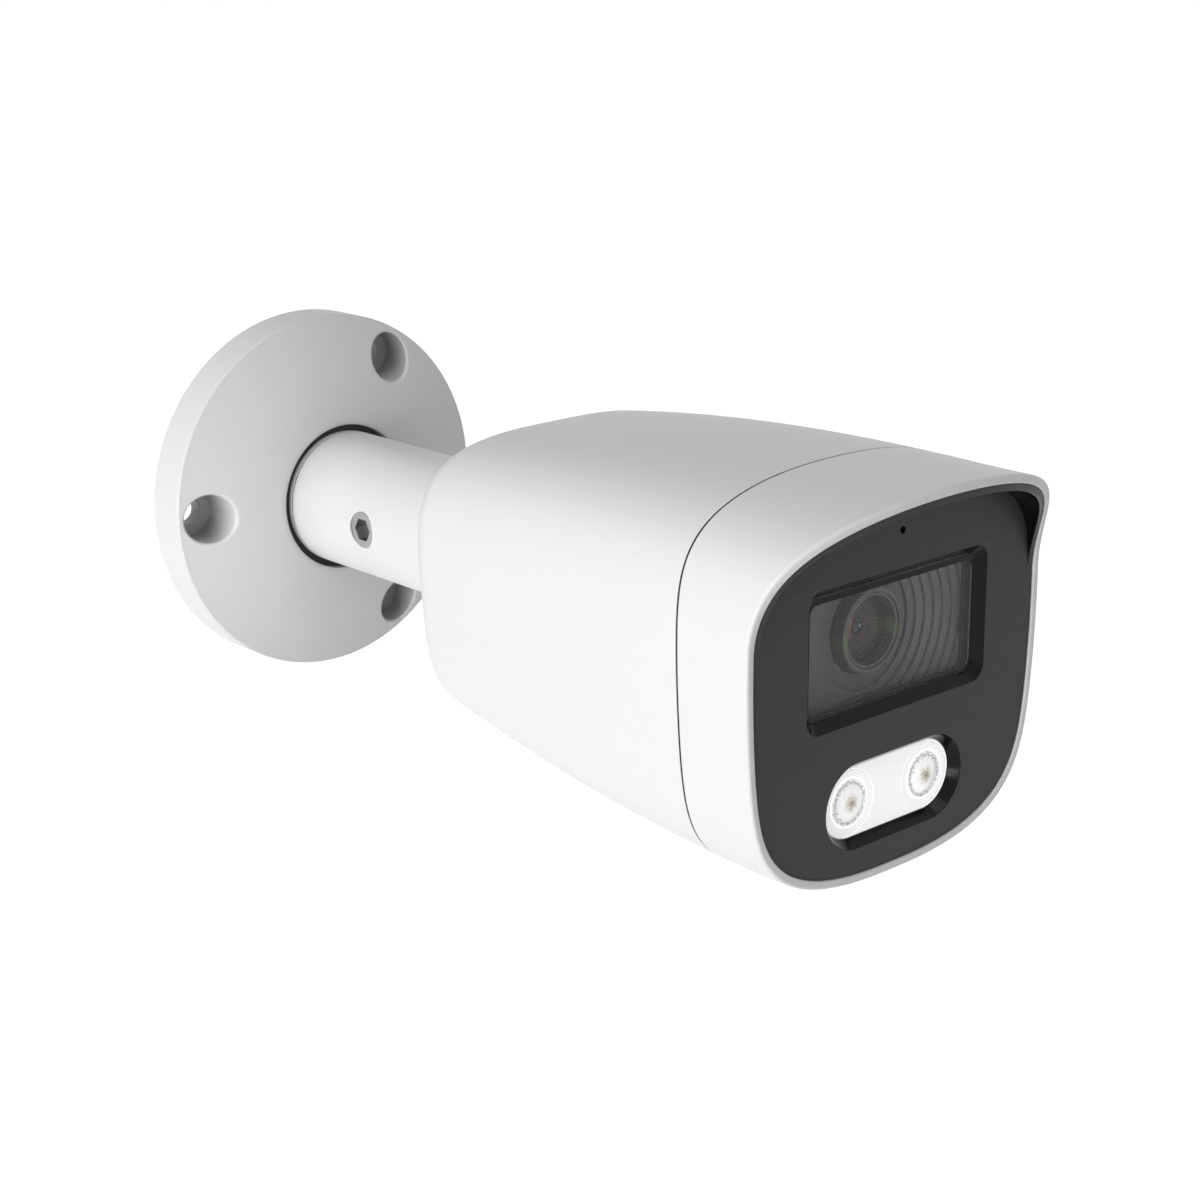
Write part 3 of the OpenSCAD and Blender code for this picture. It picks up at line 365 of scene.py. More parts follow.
# Painted light and shade: the shroud's forward-facing treads take the lit grey and its walls the shaded
# grey.
shroud_lit_grey = new_finish("shroud_lit_grey", (0.24, 0.24, 0.241), 0.55, Specular_IOR_Level=0.3)
shroud_shaded_dark = new_finish("shroud_shaded_dark", (0.060, 0.060, 0.061), 0.50, Specular_IOR_Level=0.3)
for mat in (shroud_lit_grey, shroud_shaded_dark):
    uneven(mat, 2.0, shade=0.06, rough=0.04)
    rough_skin(mat, 0.4, 0.0008)

black_plastic = new_finish("black_plastic", (0.022, 0.022, 0.023), 0.48)
uneven(black_plastic, 0.8, shade=0.15)
rough_skin(black_plastic, 0.35, 0.008)

rubber_black = new_finish("rubber_black", (0.018, 0.018, 0.019), 0.72, Specular_IOR_Level=0.3)
uneven(rubber_black, 1.4, shade=0.25, rough=0.08)
rough_skin(rubber_black, 0.5, 0.015)

foam_black = new_finish("foam_black", (0.03, 0.03, 0.031), 0.95, Specular_IOR_Level=0.1)
uneven(foam_black, 0.6, shade=0.5, rough=0.04, detail=5.0)
rough_skin(foam_black, 0.6, 0.25, detail=4.0)
print("dark plastics ready")

# %% [markdown]
# ## Glass
# The window is plain tinted glass, and most of what is seen on it is the pale room in its two faces. A
# flat plate bends nothing that can be noticed, so it is made with alpha: a thin grey veil, painted haze
# that stands in for the room's reflection, with a sharp reflection, through which the lens stays clear.
# The lens elements carry an anti-reflection coating, a film thinner than the light's wavelength, that
# tints their reflections. The Principled shader has that film as a setting of its own.

# %% Glass
# Painted reflection: the grey base colour, seen at low alpha, is a haze that stands in for the reflected
# room.
window_clear = new_finish("window_glass", (0.38, 0.38, 0.382), 0.03, IOR=1.7, Alpha=0.11)
uneven(window_clear, 6.0, shade=0.05, rough=0.01)
rough_skin(window_clear, 9.0, 0.0004, detail=0.0)

glass_edge = new_finish("ground_glass_edge", (0.12, 0.12, 0.12), 0.30)
uneven(glass_edge, 0.6, shade=0.1)
rough_skin(glass_edge, 0.3, 0.003)

lens_coated = new_finish("lens_coated", (0.10, 0.11, 0.09), 0.03, IOR=1.7, Alpha=0.07,
                         Thin_Film_Thickness=560.0, Thin_Film_IOR=1.35)
uneven(lens_coated, 3.0, shade=0.05, rough=0.01)

filter_clear = new_finish("filter_glass", (0.55, 0.85, 0.88), 0.03, Transmission_Weight=0.9,
                          Thin_Film_Thickness=520.0, Thin_Film_IOR=2.1)
uneven(filter_clear, 3.0, shade=0.05, rough=0.01)
print("glass ready")

# %% [markdown]
# ## Metals
# Zinc-plated screws are bright but soft in reflection, with a faint mottling from the bath. Turned parts
# carry the lathe's fine lines: a wave texture makes them, as rings on a face across the axis or as bands
# along it. The lock screw is brushed steel, darker from 0.1 to 0.5 mm in from its face.

# %% Turned lines


def turned_rings(mat, axis, pitch_mm, depth_mm, kind="RINGS"):
    """Fine lines from a lathe: rings on a face across the axis, or bands along it."""
    tree = mat.node_tree
    wave = tree.nodes.new("ShaderNodeTexWave")
    wave.wave_type = kind
    wave.rings_direction = axis
    wave.bands_direction = axis
    wave.inputs["Scale"].default_value = 0.314 / (pitch_mm * MM)
    wave.inputs["Distortion"].default_value = 0.4
    tree.links.new(object_coords(mat), wave.inputs["Vector"])
    return bump(mat, wave.outputs["Fac"], depth_mm)


print("lathe lines ready")

# %% Steel
zinc_steel = new_finish("zinc_steel", (0.42, 0.42, 0.41), 0.34, metallic=1.0)
uneven(zinc_steel, 0.7, shade=0.08, rough=0.08)
rough_skin(zinc_steel, 0.3, 0.004)

lock_steel = new_finish("lock_screw_steel", (0.42, 0.42, 0.42), 0.40, metallic=1.0)
uneven(lock_steel, 0.5, shade=0.06, rough=0.08)
rough_skin(lock_steel, 0.25, 0.004)
# The colour darkens from 0.1 to 0.5 mm in from the screw's face, into its socket.
SOCKET_DARK = (0.32, 0.32, 0.322)
tree = lock_steel.node_tree
depth = tree.nodes.new("ShaderNodeSeparateXYZ")
tree.links.new(object_coords(lock_steel), depth.inputs[0])
sunk = tree.nodes.new("ShaderNodeMapRange")
screw_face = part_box("lock_screw")[0].x
sunk.inputs["From Min"].default_value = screw_face + 0.1 * MM
sunk.inputs["From Max"].default_value = screw_face + 0.5 * MM
tree.links.new(depth.outputs["X"], sunk.inputs["Value"])
plain = shader(lock_steel).inputs["Base Color"].links[0].from_socket
colour_by(lock_steel, mix_colour(lock_steel, sunk.outputs["Result"], plain, SOCKET_DARK))
print("steel ready, screw face at", round(screw_face / MM, 2), "mm")

# %% Aluminium, brass and copper
turned_aluminium = new_finish("turned_aluminium", (0.60, 0.60, 0.61), 0.30, metallic=1.0)
uneven(turned_aluminium, 1.5, shade=0.05, rough=0.07)
turned_rings(turned_aluminium, "Y", 0.25, 0.003)

brushed_aluminium = new_finish("brushed_aluminium", (0.62, 0.62, 0.63), 0.33, metallic=1.0)
uneven(brushed_aluminium, 0.35, shade=0.07, rough=0.08, stretch=(0.05, 1, 1))
rough_skin(brushed_aluminium, 0.3, 0.003, stretch=(0.05, 1, 1))

turned_brass = new_finish("turned_brass", (0.76, 0.56, 0.25), 0.27, metallic=1.0)
uneven(turned_brass, 0.9, shade=0.08, rough=0.07)
turned_rings(turned_brass, "Y", 0.2, 0.004, "BANDS")

copper_winding = new_finish("copper_winding", (0.62, 0.26, 0.10), 0.30, metallic=0.9)
uneven(copper_winding, 0.4, shade=0.12, rough=0.05)
turned_rings(copper_winding, "X", 0.28, 0.08, "BANDS")
print("other metals ready")

# %% [markdown]
# ## Boards and light plastics
# A circuit board is fibre cloth under a tinted lacquer, with copper tracks that show as paler lines. A
# grid of bricks turned on its side stands in for the tracks, and a noise decides where they run.

# %% Boards
TRACK_SCALE, TRACK_WIDTH = 420, 0.09


def circuit_board(name, lacquer, track):
    """Lacquered board with a faint pattern of tracks."""
    mat = new_finish(name, lacquer, 0.34, Coat_Weight=0.35, Coat_Roughness=0.12)
    tree = mat.node_tree
    bricks = tree.nodes.new("ShaderNodeTexBrick")
    bricks.inputs["Scale"].default_value = TRACK_SCALE
    bricks.inputs["Mortar Size"].default_value = TRACK_WIDTH
    for socket, shade in (("Color1", 0), ("Color2", 0), ("Mortar", 1)):
        bricks.inputs[socket].default_value = (shade, shade, shade, 1)
    flat = object_coords(mat)
    turn_flat = tree.nodes.new("ShaderNodeMapping")
    turn_flat.inputs["Rotation"].default_value = (math.radians(90), 0, 0)
    tree.links.new(flat, turn_flat.inputs["Vector"])
    tree.links.new(turn_flat.outputs["Vector"], bricks.inputs["Vector"])
    runs = tree.nodes.new("ShaderNodeMath")
    runs.operation = "MULTIPLY"
    tree.links.new(bricks.outputs["Color"], runs.inputs[0])
    tree.links.new(noise(mat, 4.0, 1.0), runs.inputs[1])
    colour_by(mat, mix_colour(mat, runs.outputs[0], lacquer, track))
    bump(mat, bricks.outputs["Color"], 0.03)
    return rough_skin(mat, 0.5, 0.004)


green_board = circuit_board("green_board", (0.012, 0.10, 0.035), (0.06, 0.34, 0.12))
white_board = circuit_board("white_board", (0.80, 0.80, 0.77), (0.62, 0.60, 0.52))
print("boards ready")

# %% Chips and light plastics
chip_black = new_finish("chip_black", (0.020, 0.020, 0.022), 0.52)
uneven(chip_black, 0.5, shade=0.2)
rough_skin(chip_black, 0.18, 0.006)

nylon = new_finish("nylon", (0.82, 0.80, 0.73), 0.42, Subsurface_Weight=0.15)
uneven(nylon, 1.5, shade=0.03)
rough_skin(nylon, 0.4, 0.006)

white_plastic = new_finish("white_plastic", (0.92, 0.92, 0.915), 0.30)
uneven(white_plastic, 1.2, shade=0.01, rough=0.05)
rough_skin(white_plastic, 0.6, 0.003)

silicone_pad = new_finish("silicone_pad", (0.30, 0.48, 0.66), 0.62)
uneven(silicone_pad, 1.0, shade=0.06)
rough_skin(silicone_pad, 0.4, 0.02)

capacitor_blue = new_finish("capacitor_sleeve", (0.03, 0.08, 0.36), 0.28)
uneven(capacitor_blue, 1.0, shade=0.06)
rough_skin(capacitor_blue, 0.8, 0.004)

bag_paper = new_finish("desiccant_bag", (0.84, 0.84, 0.81), 0.85)
uneven(bag_paper, 0.35, shade=0.06, detail=5.0)
rough_skin(bag_paper, 0.5, 0.06, detail=4.0)
print("light plastics ready")

# %% [markdown]
# ## The lamps
# Each lamp is a clear moulded lens with a pebbled dome over a small yellow chip. Seen from outside it is
# white, with a beige speckled middle where the chip shows, and a grey ring of painted shade where the
# lens meets the panel. A colour ramp over the distance from the lamp's axis paints those zones, and the
# pebbles fray its edges. The panel and the lenses carry a low painted glow, which makes them the
# brightest things on the face.

# %% Where the lamps are
lamp_box_low, lamp_box_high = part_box("lamp_lenses")
lamp_z = (lamp_box_low.z + lamp_box_high.z) / 2 / MM
lamp_r = (lamp_box_high.z - lamp_box_low.z) / 2 / MM
lamp_x = lamp_box_high.x / MM - lamp_r


def distance_from_lamps(mat):
    """Distance in metres from the nearer lamp's axis."""
    tree = mat.node_tree
    split = tree.nodes.new("ShaderNodeSeparateXYZ")
    tree.links.new(object_coords(mat), split.inputs[0])
    side = tree.nodes.new("ShaderNodeMath")
    side.operation = "ABSOLUTE"
    tree.links.new(split.outputs["X"], side.inputs[0])
    across = tree.nodes.new("ShaderNodeMath")
    across.operation = "SUBTRACT"
    across.inputs[1].default_value = lamp_x * MM
    tree.links.new(side.outputs[0], across.inputs[0])
    height = tree.nodes.new("ShaderNodeMath")
    height.operation = "SUBTRACT"
    height.inputs[1].default_value = lamp_z * MM
    tree.links.new(split.outputs["Z"], height.inputs[0])
    join = tree.nodes.new("ShaderNodeCombineXYZ")
    tree.links.new(across.outputs[0], join.inputs["X"])
    tree.links.new(height.outputs[0], join.inputs["Y"])
    length = tree.nodes.new("ShaderNodeVectorMath")
    length.operation = "LENGTH"
    tree.links.new(join.outputs[0], length.inputs[0])
    return length.outputs["Value"]


def ramp(mat, value, stops):
    """A colour ramp through (place, colour) stops."""
    node = mat.node_tree.nodes.new("ShaderNodeValToRGB")
    bar = node.color_ramp.elements
    bar[0].position, bar[0].color = stops[0][0], (*stops[0][1], 1)
    bar[1].position, bar[1].color = stops[-1][0], (*stops[-1][1], 1)
    for at, colour in stops[1:-1]:
        bar.new(at).color = (*colour, 1)
    mat.node_tree.links.new(value, node.inputs["Fac"])
    return node.outputs["Color"]


print("lamps at", round(lamp_x, 2), "and", round(lamp_z, 2), "mm")

# %% Lamp finishes
# Painted glow: the panel and the lamp lenses emit light themselves, although nothing behind them is lit.
PAINTED_GLOW = 0.42
panel_white = new_finish("lamp_panel_white", (0.94, 0.94, 0.94), 0.28,
                         Emission_Color=(1.0, 0.99, 0.97, 1), Emission_Strength=PAINTED_GLOW)
uneven(panel_white, 1.2, shade=0.01, rough=0.05)
rough_skin(panel_white, 0.6, 0.002)

lamp_clear = new_finish("lamp_lens", (0.93, 0.93, 0.92), 0.16, Coat_Weight=0.6, Coat_Roughness=0.08,
                        Emission_Strength=PAINTED_GLOW)
tree = lamp_clear.node_tree
share = tree.nodes.new("ShaderNodeMath")
share.operation = "DIVIDE"
share.inputs[1].default_value = 1.2 * lamp_r * MM
tree.links.new(distance_from_lamps(lamp_clear), share.inputs[0])
pebbles = tree.nodes.new("ShaderNodeTexVoronoi")
pebbles.inputs["Scale"].default_value = 1 / (0.36 * MM)
tree.links.new(object_coords(lamp_clear), pebbles.inputs["Vector"])
frayed = tree.nodes.new("ShaderNodeMath")
frayed.operation = "MULTIPLY_ADD"
frayed.inputs[1].default_value = 0.20
tree.links.new(pebbles.outputs["Distance"], frayed.inputs[0])
tree.links.new(share.outputs[0], frayed.inputs[2])
# Painted shade: the grey ring near the lens's edge is the shadow line where the lens meets the panel.
CLEAR_ZONE, RING_SHADE = (0.94, 0.94, 0.94), (0.46, 0.45, 0.43)
lamp_zones = ramp(lamp_clear, frayed.outputs[0], [
    (0.09, (0.20, 0.155, 0.11)), (0.19, (0.38, 0.32, 0.25)), (0.32, (0.64, 0.60, 0.54)),
    (0.46, (0.94, 0.94, 0.93)), (0.73, CLEAR_ZONE), (0.79, RING_SHADE),
    (0.84, RING_SHADE), (0.89, CLEAR_ZONE), (1.0, CLEAR_ZONE)])
colour_by(lamp_clear, lamp_zones)
tree.links.new(lamp_zones, shader(lamp_clear).inputs["Emission Color"])
bump(lamp_clear, pebbles.outputs["Distance"], 0.05)

lamp_phosphor = new_finish("lamp_phosphor", (0.86, 0.70, 0.22), 0.4)
uneven(lamp_phosphor, 0.3, shade=0.1)
print("lamp finishes ready, lens radius", round(lamp_r, 2), "mm")

# %% [markdown]
# ## A kit for meshes
# The large shells are rebuilt here with many more points than the frame has, on the same outline. All of
# them are stacks of rings, so one helper joins rings into a skin. Edges sharper than an angle stay
# crisp, the rest is smooth, and the weighted normals keep flat faces flat beside their small rounds.

# %% Piece helpers
WELD = 2e-6


def make_object(name, points, faces, weld=0):
    """A plain object from points and faces, its normals turned outward."""
    mesh = bpy.data.meshes.new(name)
    mesh.from_pydata([tuple(p) for p in points], [], faces)
    bm = bmesh.new()
    bm.from_mesh(mesh)
    if weld:
        bmesh.ops.remove_doubles(bm, verts=bm.verts, dist=weld)
    bmesh.ops.recalc_face_normals(bm, faces=bm.faces)
    bm.to_mesh(mesh)
    bm.free()
    made = bpy.data.objects.new(name, mesh)
    bpy.context.scene.collection.objects.link(made)
    return made


def make_piece(name, points, faces, mats, body, stands_for=(), slot=None, sharp=40, pick=None):
    """A finished piece. pick(centre, normal) gives a face's finish by number."""
    piece = make_object(name, points, faces, WELD)
    mesh = piece.data
    for mat in mats:
        mesh.materials.append(mat)
    if pick:
        for face in mesh.polygons:
            face.material_index = pick(face.center / MM, face.normal)
    return dress(piece, body, stands_for, sharp)


def dress(piece, body, stands_for=(), sharp=40):
    """Smooth shading with crisp edges, and the piece's place in the frame."""
    mesh = piece.data
    mesh.shade_smooth()
    mesh.set_sharp_from_angle(angle=math.radians(sharp))
    flatten = piece.modifiers.new("weighted", "WEIGHTED_NORMAL")
    flatten.keep_sharp = True
    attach(piece, body)
    if stands_for:
        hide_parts(*stands_for)
    print(piece.name, len(mesh.vertices), "points")
    return piece


print("piece helpers ready")

# %% Ring helpers


def skin(rings, closed=False):
    """Faces between rings of equal length. closed joins the last ring to the first."""
    size = len(rings[0])
    faces = []
    for r in range(len(rings) if closed else len(rings) - 1):
        here = r * size
        there = ((r + 1) % len(rings)) * size
        for i in range(size):
            j = (i + 1) % size
            faces.append((here + i, here + j, there + j, there + i))
    return faces


def flat_list(rings):
    return [p for r in rings for p in r]


def circle(radius, out, centre=(0, 0), count=64):
    """A ring of points in a plane parallel to the wall."""
    return [place(centre[0] + radius * math.cos(2 * math.pi * i / count), out,
                  centre[1] + radius * math.sin(2 * math.pi * i / count)) for i in range(count)]


def lathe(profile, centre=(0, 0), count=96):
    """A closed skin from (radius, out) pairs, turned about an axis along Y."""
    rings = [circle(r, out, centre, count) for r, out in profile]
    return flat_list(rings), skin(rings, closed=True)


def arc(centre_a, centre_b, radius, start, end, steps):
    """Points along an arc, angles in degrees."""
    return [(centre_a + radius * math.cos(math.radians(start + (end - start) * k / steps)),
             centre_b + radius * math.sin(math.radians(start + (end - start) * k / steps)))
            for k in range(steps + 1)]


class Parts:
    """Collects several skins into one mesh."""

    def __init__(self):
        self.points = []
        self.faces = []

    def add(self, points, faces):
        start = len(self.points)
        self.points += points
        self.faces += [tuple(start + i for i in f) for f in faces]


print("ring helpers ready")

# %% [markdown]
# ## The body's outline
# The face is a squircle: nearly flat sides, a fuller bottom and a gently crowned top. Towards the back
# the outline shrinks and its corners grow rounder. One function gives a point of that outline for any
# distance from the wall, and an inset gives the inner surfaces. Its figures are those of the frame: the
# ends are read from the boxes, the widths and heights are given here, and the exponents say how square
# each part is.

# %% Outline
RIM = 1.45
LINER = 1.25
WALL = 2.5
SEAM_GAP = 0.2
REAR_EDGE = 8.0
FACE_BOTTOM = 33.6
REAR_HALF_W, REAR_TOP, REAR_BOTTOM = 28.8, 24.4, 21.6
FACE_HALF_W, FACE_TOP = 33.3, 30.4
TOP_SHAPE, TOP_SHAPE_REAR = (2.0, 6.26), (3.5, 3.5)
BOTTOM_SHAPE, BOTTOM_SHAPE_REAR = (2.57, 5.46), (4.5, 4.5)
LEAN, LEAN_REAR, BELLY = 0.0012, 0.0023, 0.000082
VISOR_START, VISOR_CURVE = 9.5, 1.8
AROUND = 280

rear_out = shell["near"]
seam_out = ring["near"] + 3.0
visor_tip = ring["far"]
VISOR_REACH = 10.0
face_out = visor_tip - VISOR_REACH


def lerp(a, b, k):
    return a + (b - a) * k


def signed_pow(v, p):
    return math.copysign(abs(v) ** p, v)


def even_angle(u, n_up, n_across):
    """An angle for a share of a quarter turn that spaces points evenly along the outline."""
    return math.pi / 2 * u ** (n_up / 2) / (u ** (n_up / 2) + (1 - u) ** (n_across / 2))


def outline(i, out, inset, count=AROUND):
    """X and Z of one point of the body's outline."""
    quarter = int(4 * i / count)
    u = 4 * i / count - quarter
    k = max(0.0, (face_out - out) / (face_out - rear_out))
    top = quarter < 2
    n = [lerp(a, b, k) for a, b in zip(*((TOP_SHAPE, TOP_SHAPE_REAR) if top
                                         else (BOTTOM_SHAPE, BOTTOM_SHAPE_REAR)))]
    if quarter in (0, 2):
        angle = quarter * math.pi / 2 + even_angle(u, n[1], n[0])
    else:
        angle = (quarter + 1) * math.pi / 2 - even_angle(1 - u, n[1], n[0])
    into_edge = max(0.0, rear_out + REAR_EDGE - out)
    cut = inset + REAR_EDGE - math.sqrt(max(0.0, REAR_EDGE ** 2 - into_edge ** 2))
    half_w = lerp(FACE_HALF_W, REAR_HALF_W, k ** 2.2) - cut
    high = lerp(FACE_TOP, REAR_TOP, k ** 2.4)
    low = -lerp(FACE_BOTTOM, REAR_BOTTOM, k ** 1.6)
    middle = lerp((FACE_TOP - FACE_BOTTOM) / 2, 0, k)
    reach = (high - middle if top else middle - low) - cut
    rise = reach * signed_pow(math.sin(angle), 2 / n[1])
    lean = 1 + lerp(LEAN, LEAN_REAR, k) * rise - BELLY * (1 - k) * rise * rise
    return half_w * lean * signed_pow(math.cos(angle), 2 / n[0]), middle + rise


def body_ring(out, inset):
    """A ring of the body at one distance from the wall."""
    return [place(x, out, z) for x, z in (outline(i, out, inset) for i in range(AROUND))]


def sweep(i):
    """How far the visor reaches past the face at a point of the outline."""
    rise = max(0.0, (outline(i, face_out, 0)[1] - VISOR_START) / (FACE_TOP - VISOR_START))
    return VISOR_REACH * rise ** VISOR_CURVE


def edge_ring(inset, drop=0.0, least=0.0, share=1.0, base=None):
    """A ring along the swept front edge, or a share of the way to it from a base."""
    points = []
    for i in range(AROUND):
        tip = face_out + max(least, sweep(i) - drop)
        out = tip if base is None else lerp(base, tip, share)
        x, z = outline(i, min(out, face_out), inset)
        points.append(place(x, out, z))
    return points


print("face", round(face_out, 2), "seam", round(seam_out, 2), "rear", round(rear_out, 2), "mm out")

# %% [markdown]
# ## Rear shell
# The rear shell is one casting: a long tapering sleeve with a well rounded back and a round opening for
# the ball joint's cup. The rings start at that opening, spread over the back, roll round the edge and
# run to the seam, where a small round catches the light, and then return inside. The screw bosses are
# tubes joined to the same piece.

# %% Rear shell
CUP_HOLE = 13.05
REAR_WALL = 3.0


def spread(circle_r, out, inset, k):
    """A ring part of the way from a circle to the body's outline."""
    points = []
    for i in range(AROUND):
        x, z = outline(i, out, inset)
        angle = math.atan2(z, x)
        points.append(place(lerp(circle_r * math.cos(angle), x, k), out,
                            lerp(circle_r * math.sin(angle), z, k)))
    return points


shell_end = seam_out - SEAM_GAP
outer = [spread(CUP_HOLE, rear_out + 0.35, 0, 0), spread(CUP_HOLE + 0.1, rear_out + 0.1, 0, 0),
         spread(CUP_HOLE + 0.35, rear_out, 0, 0)]
outer += [spread(CUP_HOLE + 0.35, rear_out, 0, k) for k in (0.35, 0.7, 1)]
for k in range(1, 17):
    outer.append(body_ring(rear_out + REAR_EDGE * (1 - math.cos(math.pi / 2 * k / 16)), 0))
for k in range(1, 25):
    outer.append(body_ring(lerp(rear_out + REAR_EDGE, shell_end - 0.3, k / 24), 0))
outer += [body_ring(shell_end - 0.3 * (1 - math.sin(a)), 0.3 * (1 - math.cos(a)))
          for a in (math.pi / 6, math.pi / 3, math.pi / 2)]
groove = [(shell_end, 0.8), (shell_end - 1.2, 0.8), (shell_end - 1.2, 1.8), (shell_end, 1.8),
          (shell_end, WALL)]
outer += [body_ring(out, inset) for out, inset in groove]
for k in range(1, 13):
    outer.append(body_ring(lerp(shell_end, rear_out + REAR_EDGE, k / 12), WALL))
for k in range(1, 7):
    outer.append(body_ring(lerp(rear_out + REAR_EDGE, rear_out + REAR_WALL, k / 6), WALL))
outer += [spread(CUP_HOLE, rear_out + REAR_WALL, WALL, k) for k in (0.5, 0)]

BOSSES = [(24, 16), (-24, 16), (22.8, -19.5), (-22.8, -19.5)]
BOSS_R, BOSS_BORE, BOSS_LEN = 3.2, 1.25, 26.0
plate = span("chassis_plate")
rear_parts = Parts()
rear_parts.add(flat_list(outer), skin(outer, closed=True))
for centre in BOSSES:
    rear_parts.add(*lathe([(BOSS_BORE, plate["near"]), (BOSS_R - 0.3, plate["near"]),
                           (BOSS_R, plate["near"] - 0.3), (BOSS_R, plate["near"] - BOSS_LEN),
                           (BOSS_BORE, plate["near"] - BOSS_LEN)], centre, 40))
make_piece("rear_shell", rear_parts.points, rear_parts.faces, [white_coat], "camera",
           ["rear_housing"], "white_paint", sharp=35)

# %% [markdown]
# ## Front ring and visor
# The front ring carries the visor: above the middle of the face its edge sweeps forward by a power
# curve. The edge is a narrow flat land with a generous outer round and a small inner one, the way a
# casting is trimmed. The ring's lip slides into the rear shell, and four lugs take the long screws. The
# lip is given black plastic as painted shade, so it draws the seam as a fine dark line.

# %% Front ring
OUTER_ROUND, INNER_ROUND = 0.55, 0.25
LEDGE_OUT = face_out - 4.0
LEDGE_IN, LEDGE_T = 4.0, 2.0
LIP_OUT, LIP_IN, LIP_LEN, LIP_ROOT = 2.6, 3.8, 3.0, 1.2
quarter_turn = [math.pi / 2 * k / 6 for k in range(7)]

rings = [body_ring(seam_out + 0.3 * (1 - math.sin(a)), 0.3 * (1 - math.cos(a)))
         for a in (math.pi / 2, math.pi / 3, math.pi / 6)]
rings += [edge_ring(0, drop=OUTER_ROUND, least=-5, share=k / 10, base=seam_out + 0.3) for k in range(11)]
rings += [edge_ring(OUTER_ROUND * (1 - math.cos(a)), OUTER_ROUND * (1 - math.sin(a)), -5)
          for a in quarter_turn[1:]]
rings += [edge_ring(RIM - INNER_ROUND * (1 - math.sin(a)), INNER_ROUND * (1 - math.cos(a)), -5)
          for a in quarter_turn]
rings += [body_ring(out, inset) for out, inset in (
    (LEDGE_OUT, RIM), (LEDGE_OUT, LEDGE_IN), (LEDGE_OUT - LEDGE_T, LEDGE_IN), (LEDGE_OUT - LEDGE_T, WALL),
    (seam_out + LIP_ROOT, WALL), (seam_out + LIP_ROOT, LIP_IN), (seam_out - LIP_LEN, LIP_IN),
    (seam_out - LIP_LEN, LIP_OUT), (seam_out, LIP_OUT))]
ring_parts = Parts()
ring_parts.add(flat_list(rings), skin(rings, closed=True))
for centre in BOSSES:
    ring_parts.add(*lathe([(BOSS_BORE + 0.05, plate["far"] + 0.05), (BOSS_R, plate["far"] + 0.05),
                           (BOSS_R, plate["far"] + 2.75), (BOSS_R - 0.3, plate["far"] + 3.05),
                           (BOSS_BORE + 0.05, plate["far"] + 3.05)], centre, 40))
# Painted shade: faces behind the seam take black plastic, which draws the seam as a dark line.
make_piece("visor_ring", ring_parts.points, ring_parts.faces, [white_coat, black_plastic], "camera",
           ["front_ring"], "white_paint", sharp=35,
           pick=lambda centre, normal: int(-centre.y < seam_out + 0.01))

# %% [markdown]
# ## Seam bead
# A thin dark bead sits just under the surface in the seam between the shells, a dark piece put there
# as painted shade in the gap. Only its top edge shows.

# %% Seam bead
# Painted shade: the dark bead stands in for the shade inside the seam.
BEAD_TOP, BEAD_SIDE = 0.10, 0.06
seam_back = seam_out - SEAM_GAP
bead = [body_ring(out, inset) for out, inset in (
    (seam_out + BEAD_SIDE, BEAD_TOP), (seam_out + BEAD_SIDE - 0.01, 0.5), (seam_out, 0.55),
    (seam_out, 0.8), (seam_back, 0.8), (seam_back, 0.55), (seam_back - BEAD_SIDE + 0.01, 0.5),
    (seam_back - BEAD_SIDE, BEAD_TOP))]
make_piece("seam_shade_bead", flat_list(bead), skin(bead, closed=True), [rubber_black], "camera", (),
           "rubber_black", sharp=30)

# %% [markdown]
# ## Face mask
# The dark mask is one moulding with the liner of the visor. Its face is flat, with three openings: the
# sloped recess of the window, the sloped recess of the lamps and the microphone's hole. A flat face
# with holes is filled from its loops of points, and each recess is a stack of smaller and deeper loops.

# %% Face mask
MASK_SET = 0.3
MASK_T = 3.2
face_plane = face_out - MASK_SET
mask_back = face_out - MASK_T
WINDOW_W, WINDOW_H, WINDOW_R = 40.8, 22.4, 2.6
lens_low, lens_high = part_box("lens_barrel")
lens_z = (lens_low.z + lens_high.z) / 2 / MM
glass_front, glass_back = glass["far"], glass["near"]
SEAT_W, SEAT_H, SEAT_R = 38.0, 19.6, 1.9
panel_low, panel_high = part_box("lamp_panel")
panel_r = (panel_high.z - panel_low.z) / 2 / MM
panel_front, panel_back = -panel_low.y / MM, -panel_high.y / MM
RECESS_R = 7.0
mic_z = (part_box("microphone")[0].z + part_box("microphone")[1].z) / 2 / MM


def rounded_rect(w, h, r, out):
    """A loop round a rectangle with round corners, centred on the lens axis."""
    points = []
    for cx, cz, start in ((1, 1, 0), (-1, 1, 90), (-1, -1, 180), (1, -1, 270)):
        for px, pz in arc(cx * (w / 2 - r), lens_z + cz * (h / 2 - r), r, start, start + 90, 12):
            points.append(place(px, out, pz))
    return points


def pill(r, out):
    """A loop round the two lamps."""
    points = [(lamp_x + px, lamp_z + pz) for px, pz in arc(0, 0, r, -90, 90, 40)]
    points += [(-lamp_x + px, lamp_z + pz) for px, pz in arc(0, 0, r, 90, 270, 40)]
    return [place(px, out, pz) for px, pz in points]


def fill(loops):
    """Triangles between an outer loop and the holes in it, as points and faces."""
    points = flat_list(loops)
    flat = [[Vector((p.x, p.z, 0)) for p in loop] for loop in loops]
    return points, [tuple(t) for t in tessellate_polygon(flat)]


def stack(parts, loops):
    """Adds the walls between loops that follow each other."""
    for a, b in zip(loops, loops[1:]):
        parts.add(a + b, skin([a, b]))


print("window", WINDOW_W, "by", WINDOW_H, "mm, lens axis at", round(lens_z, 2), "mm")

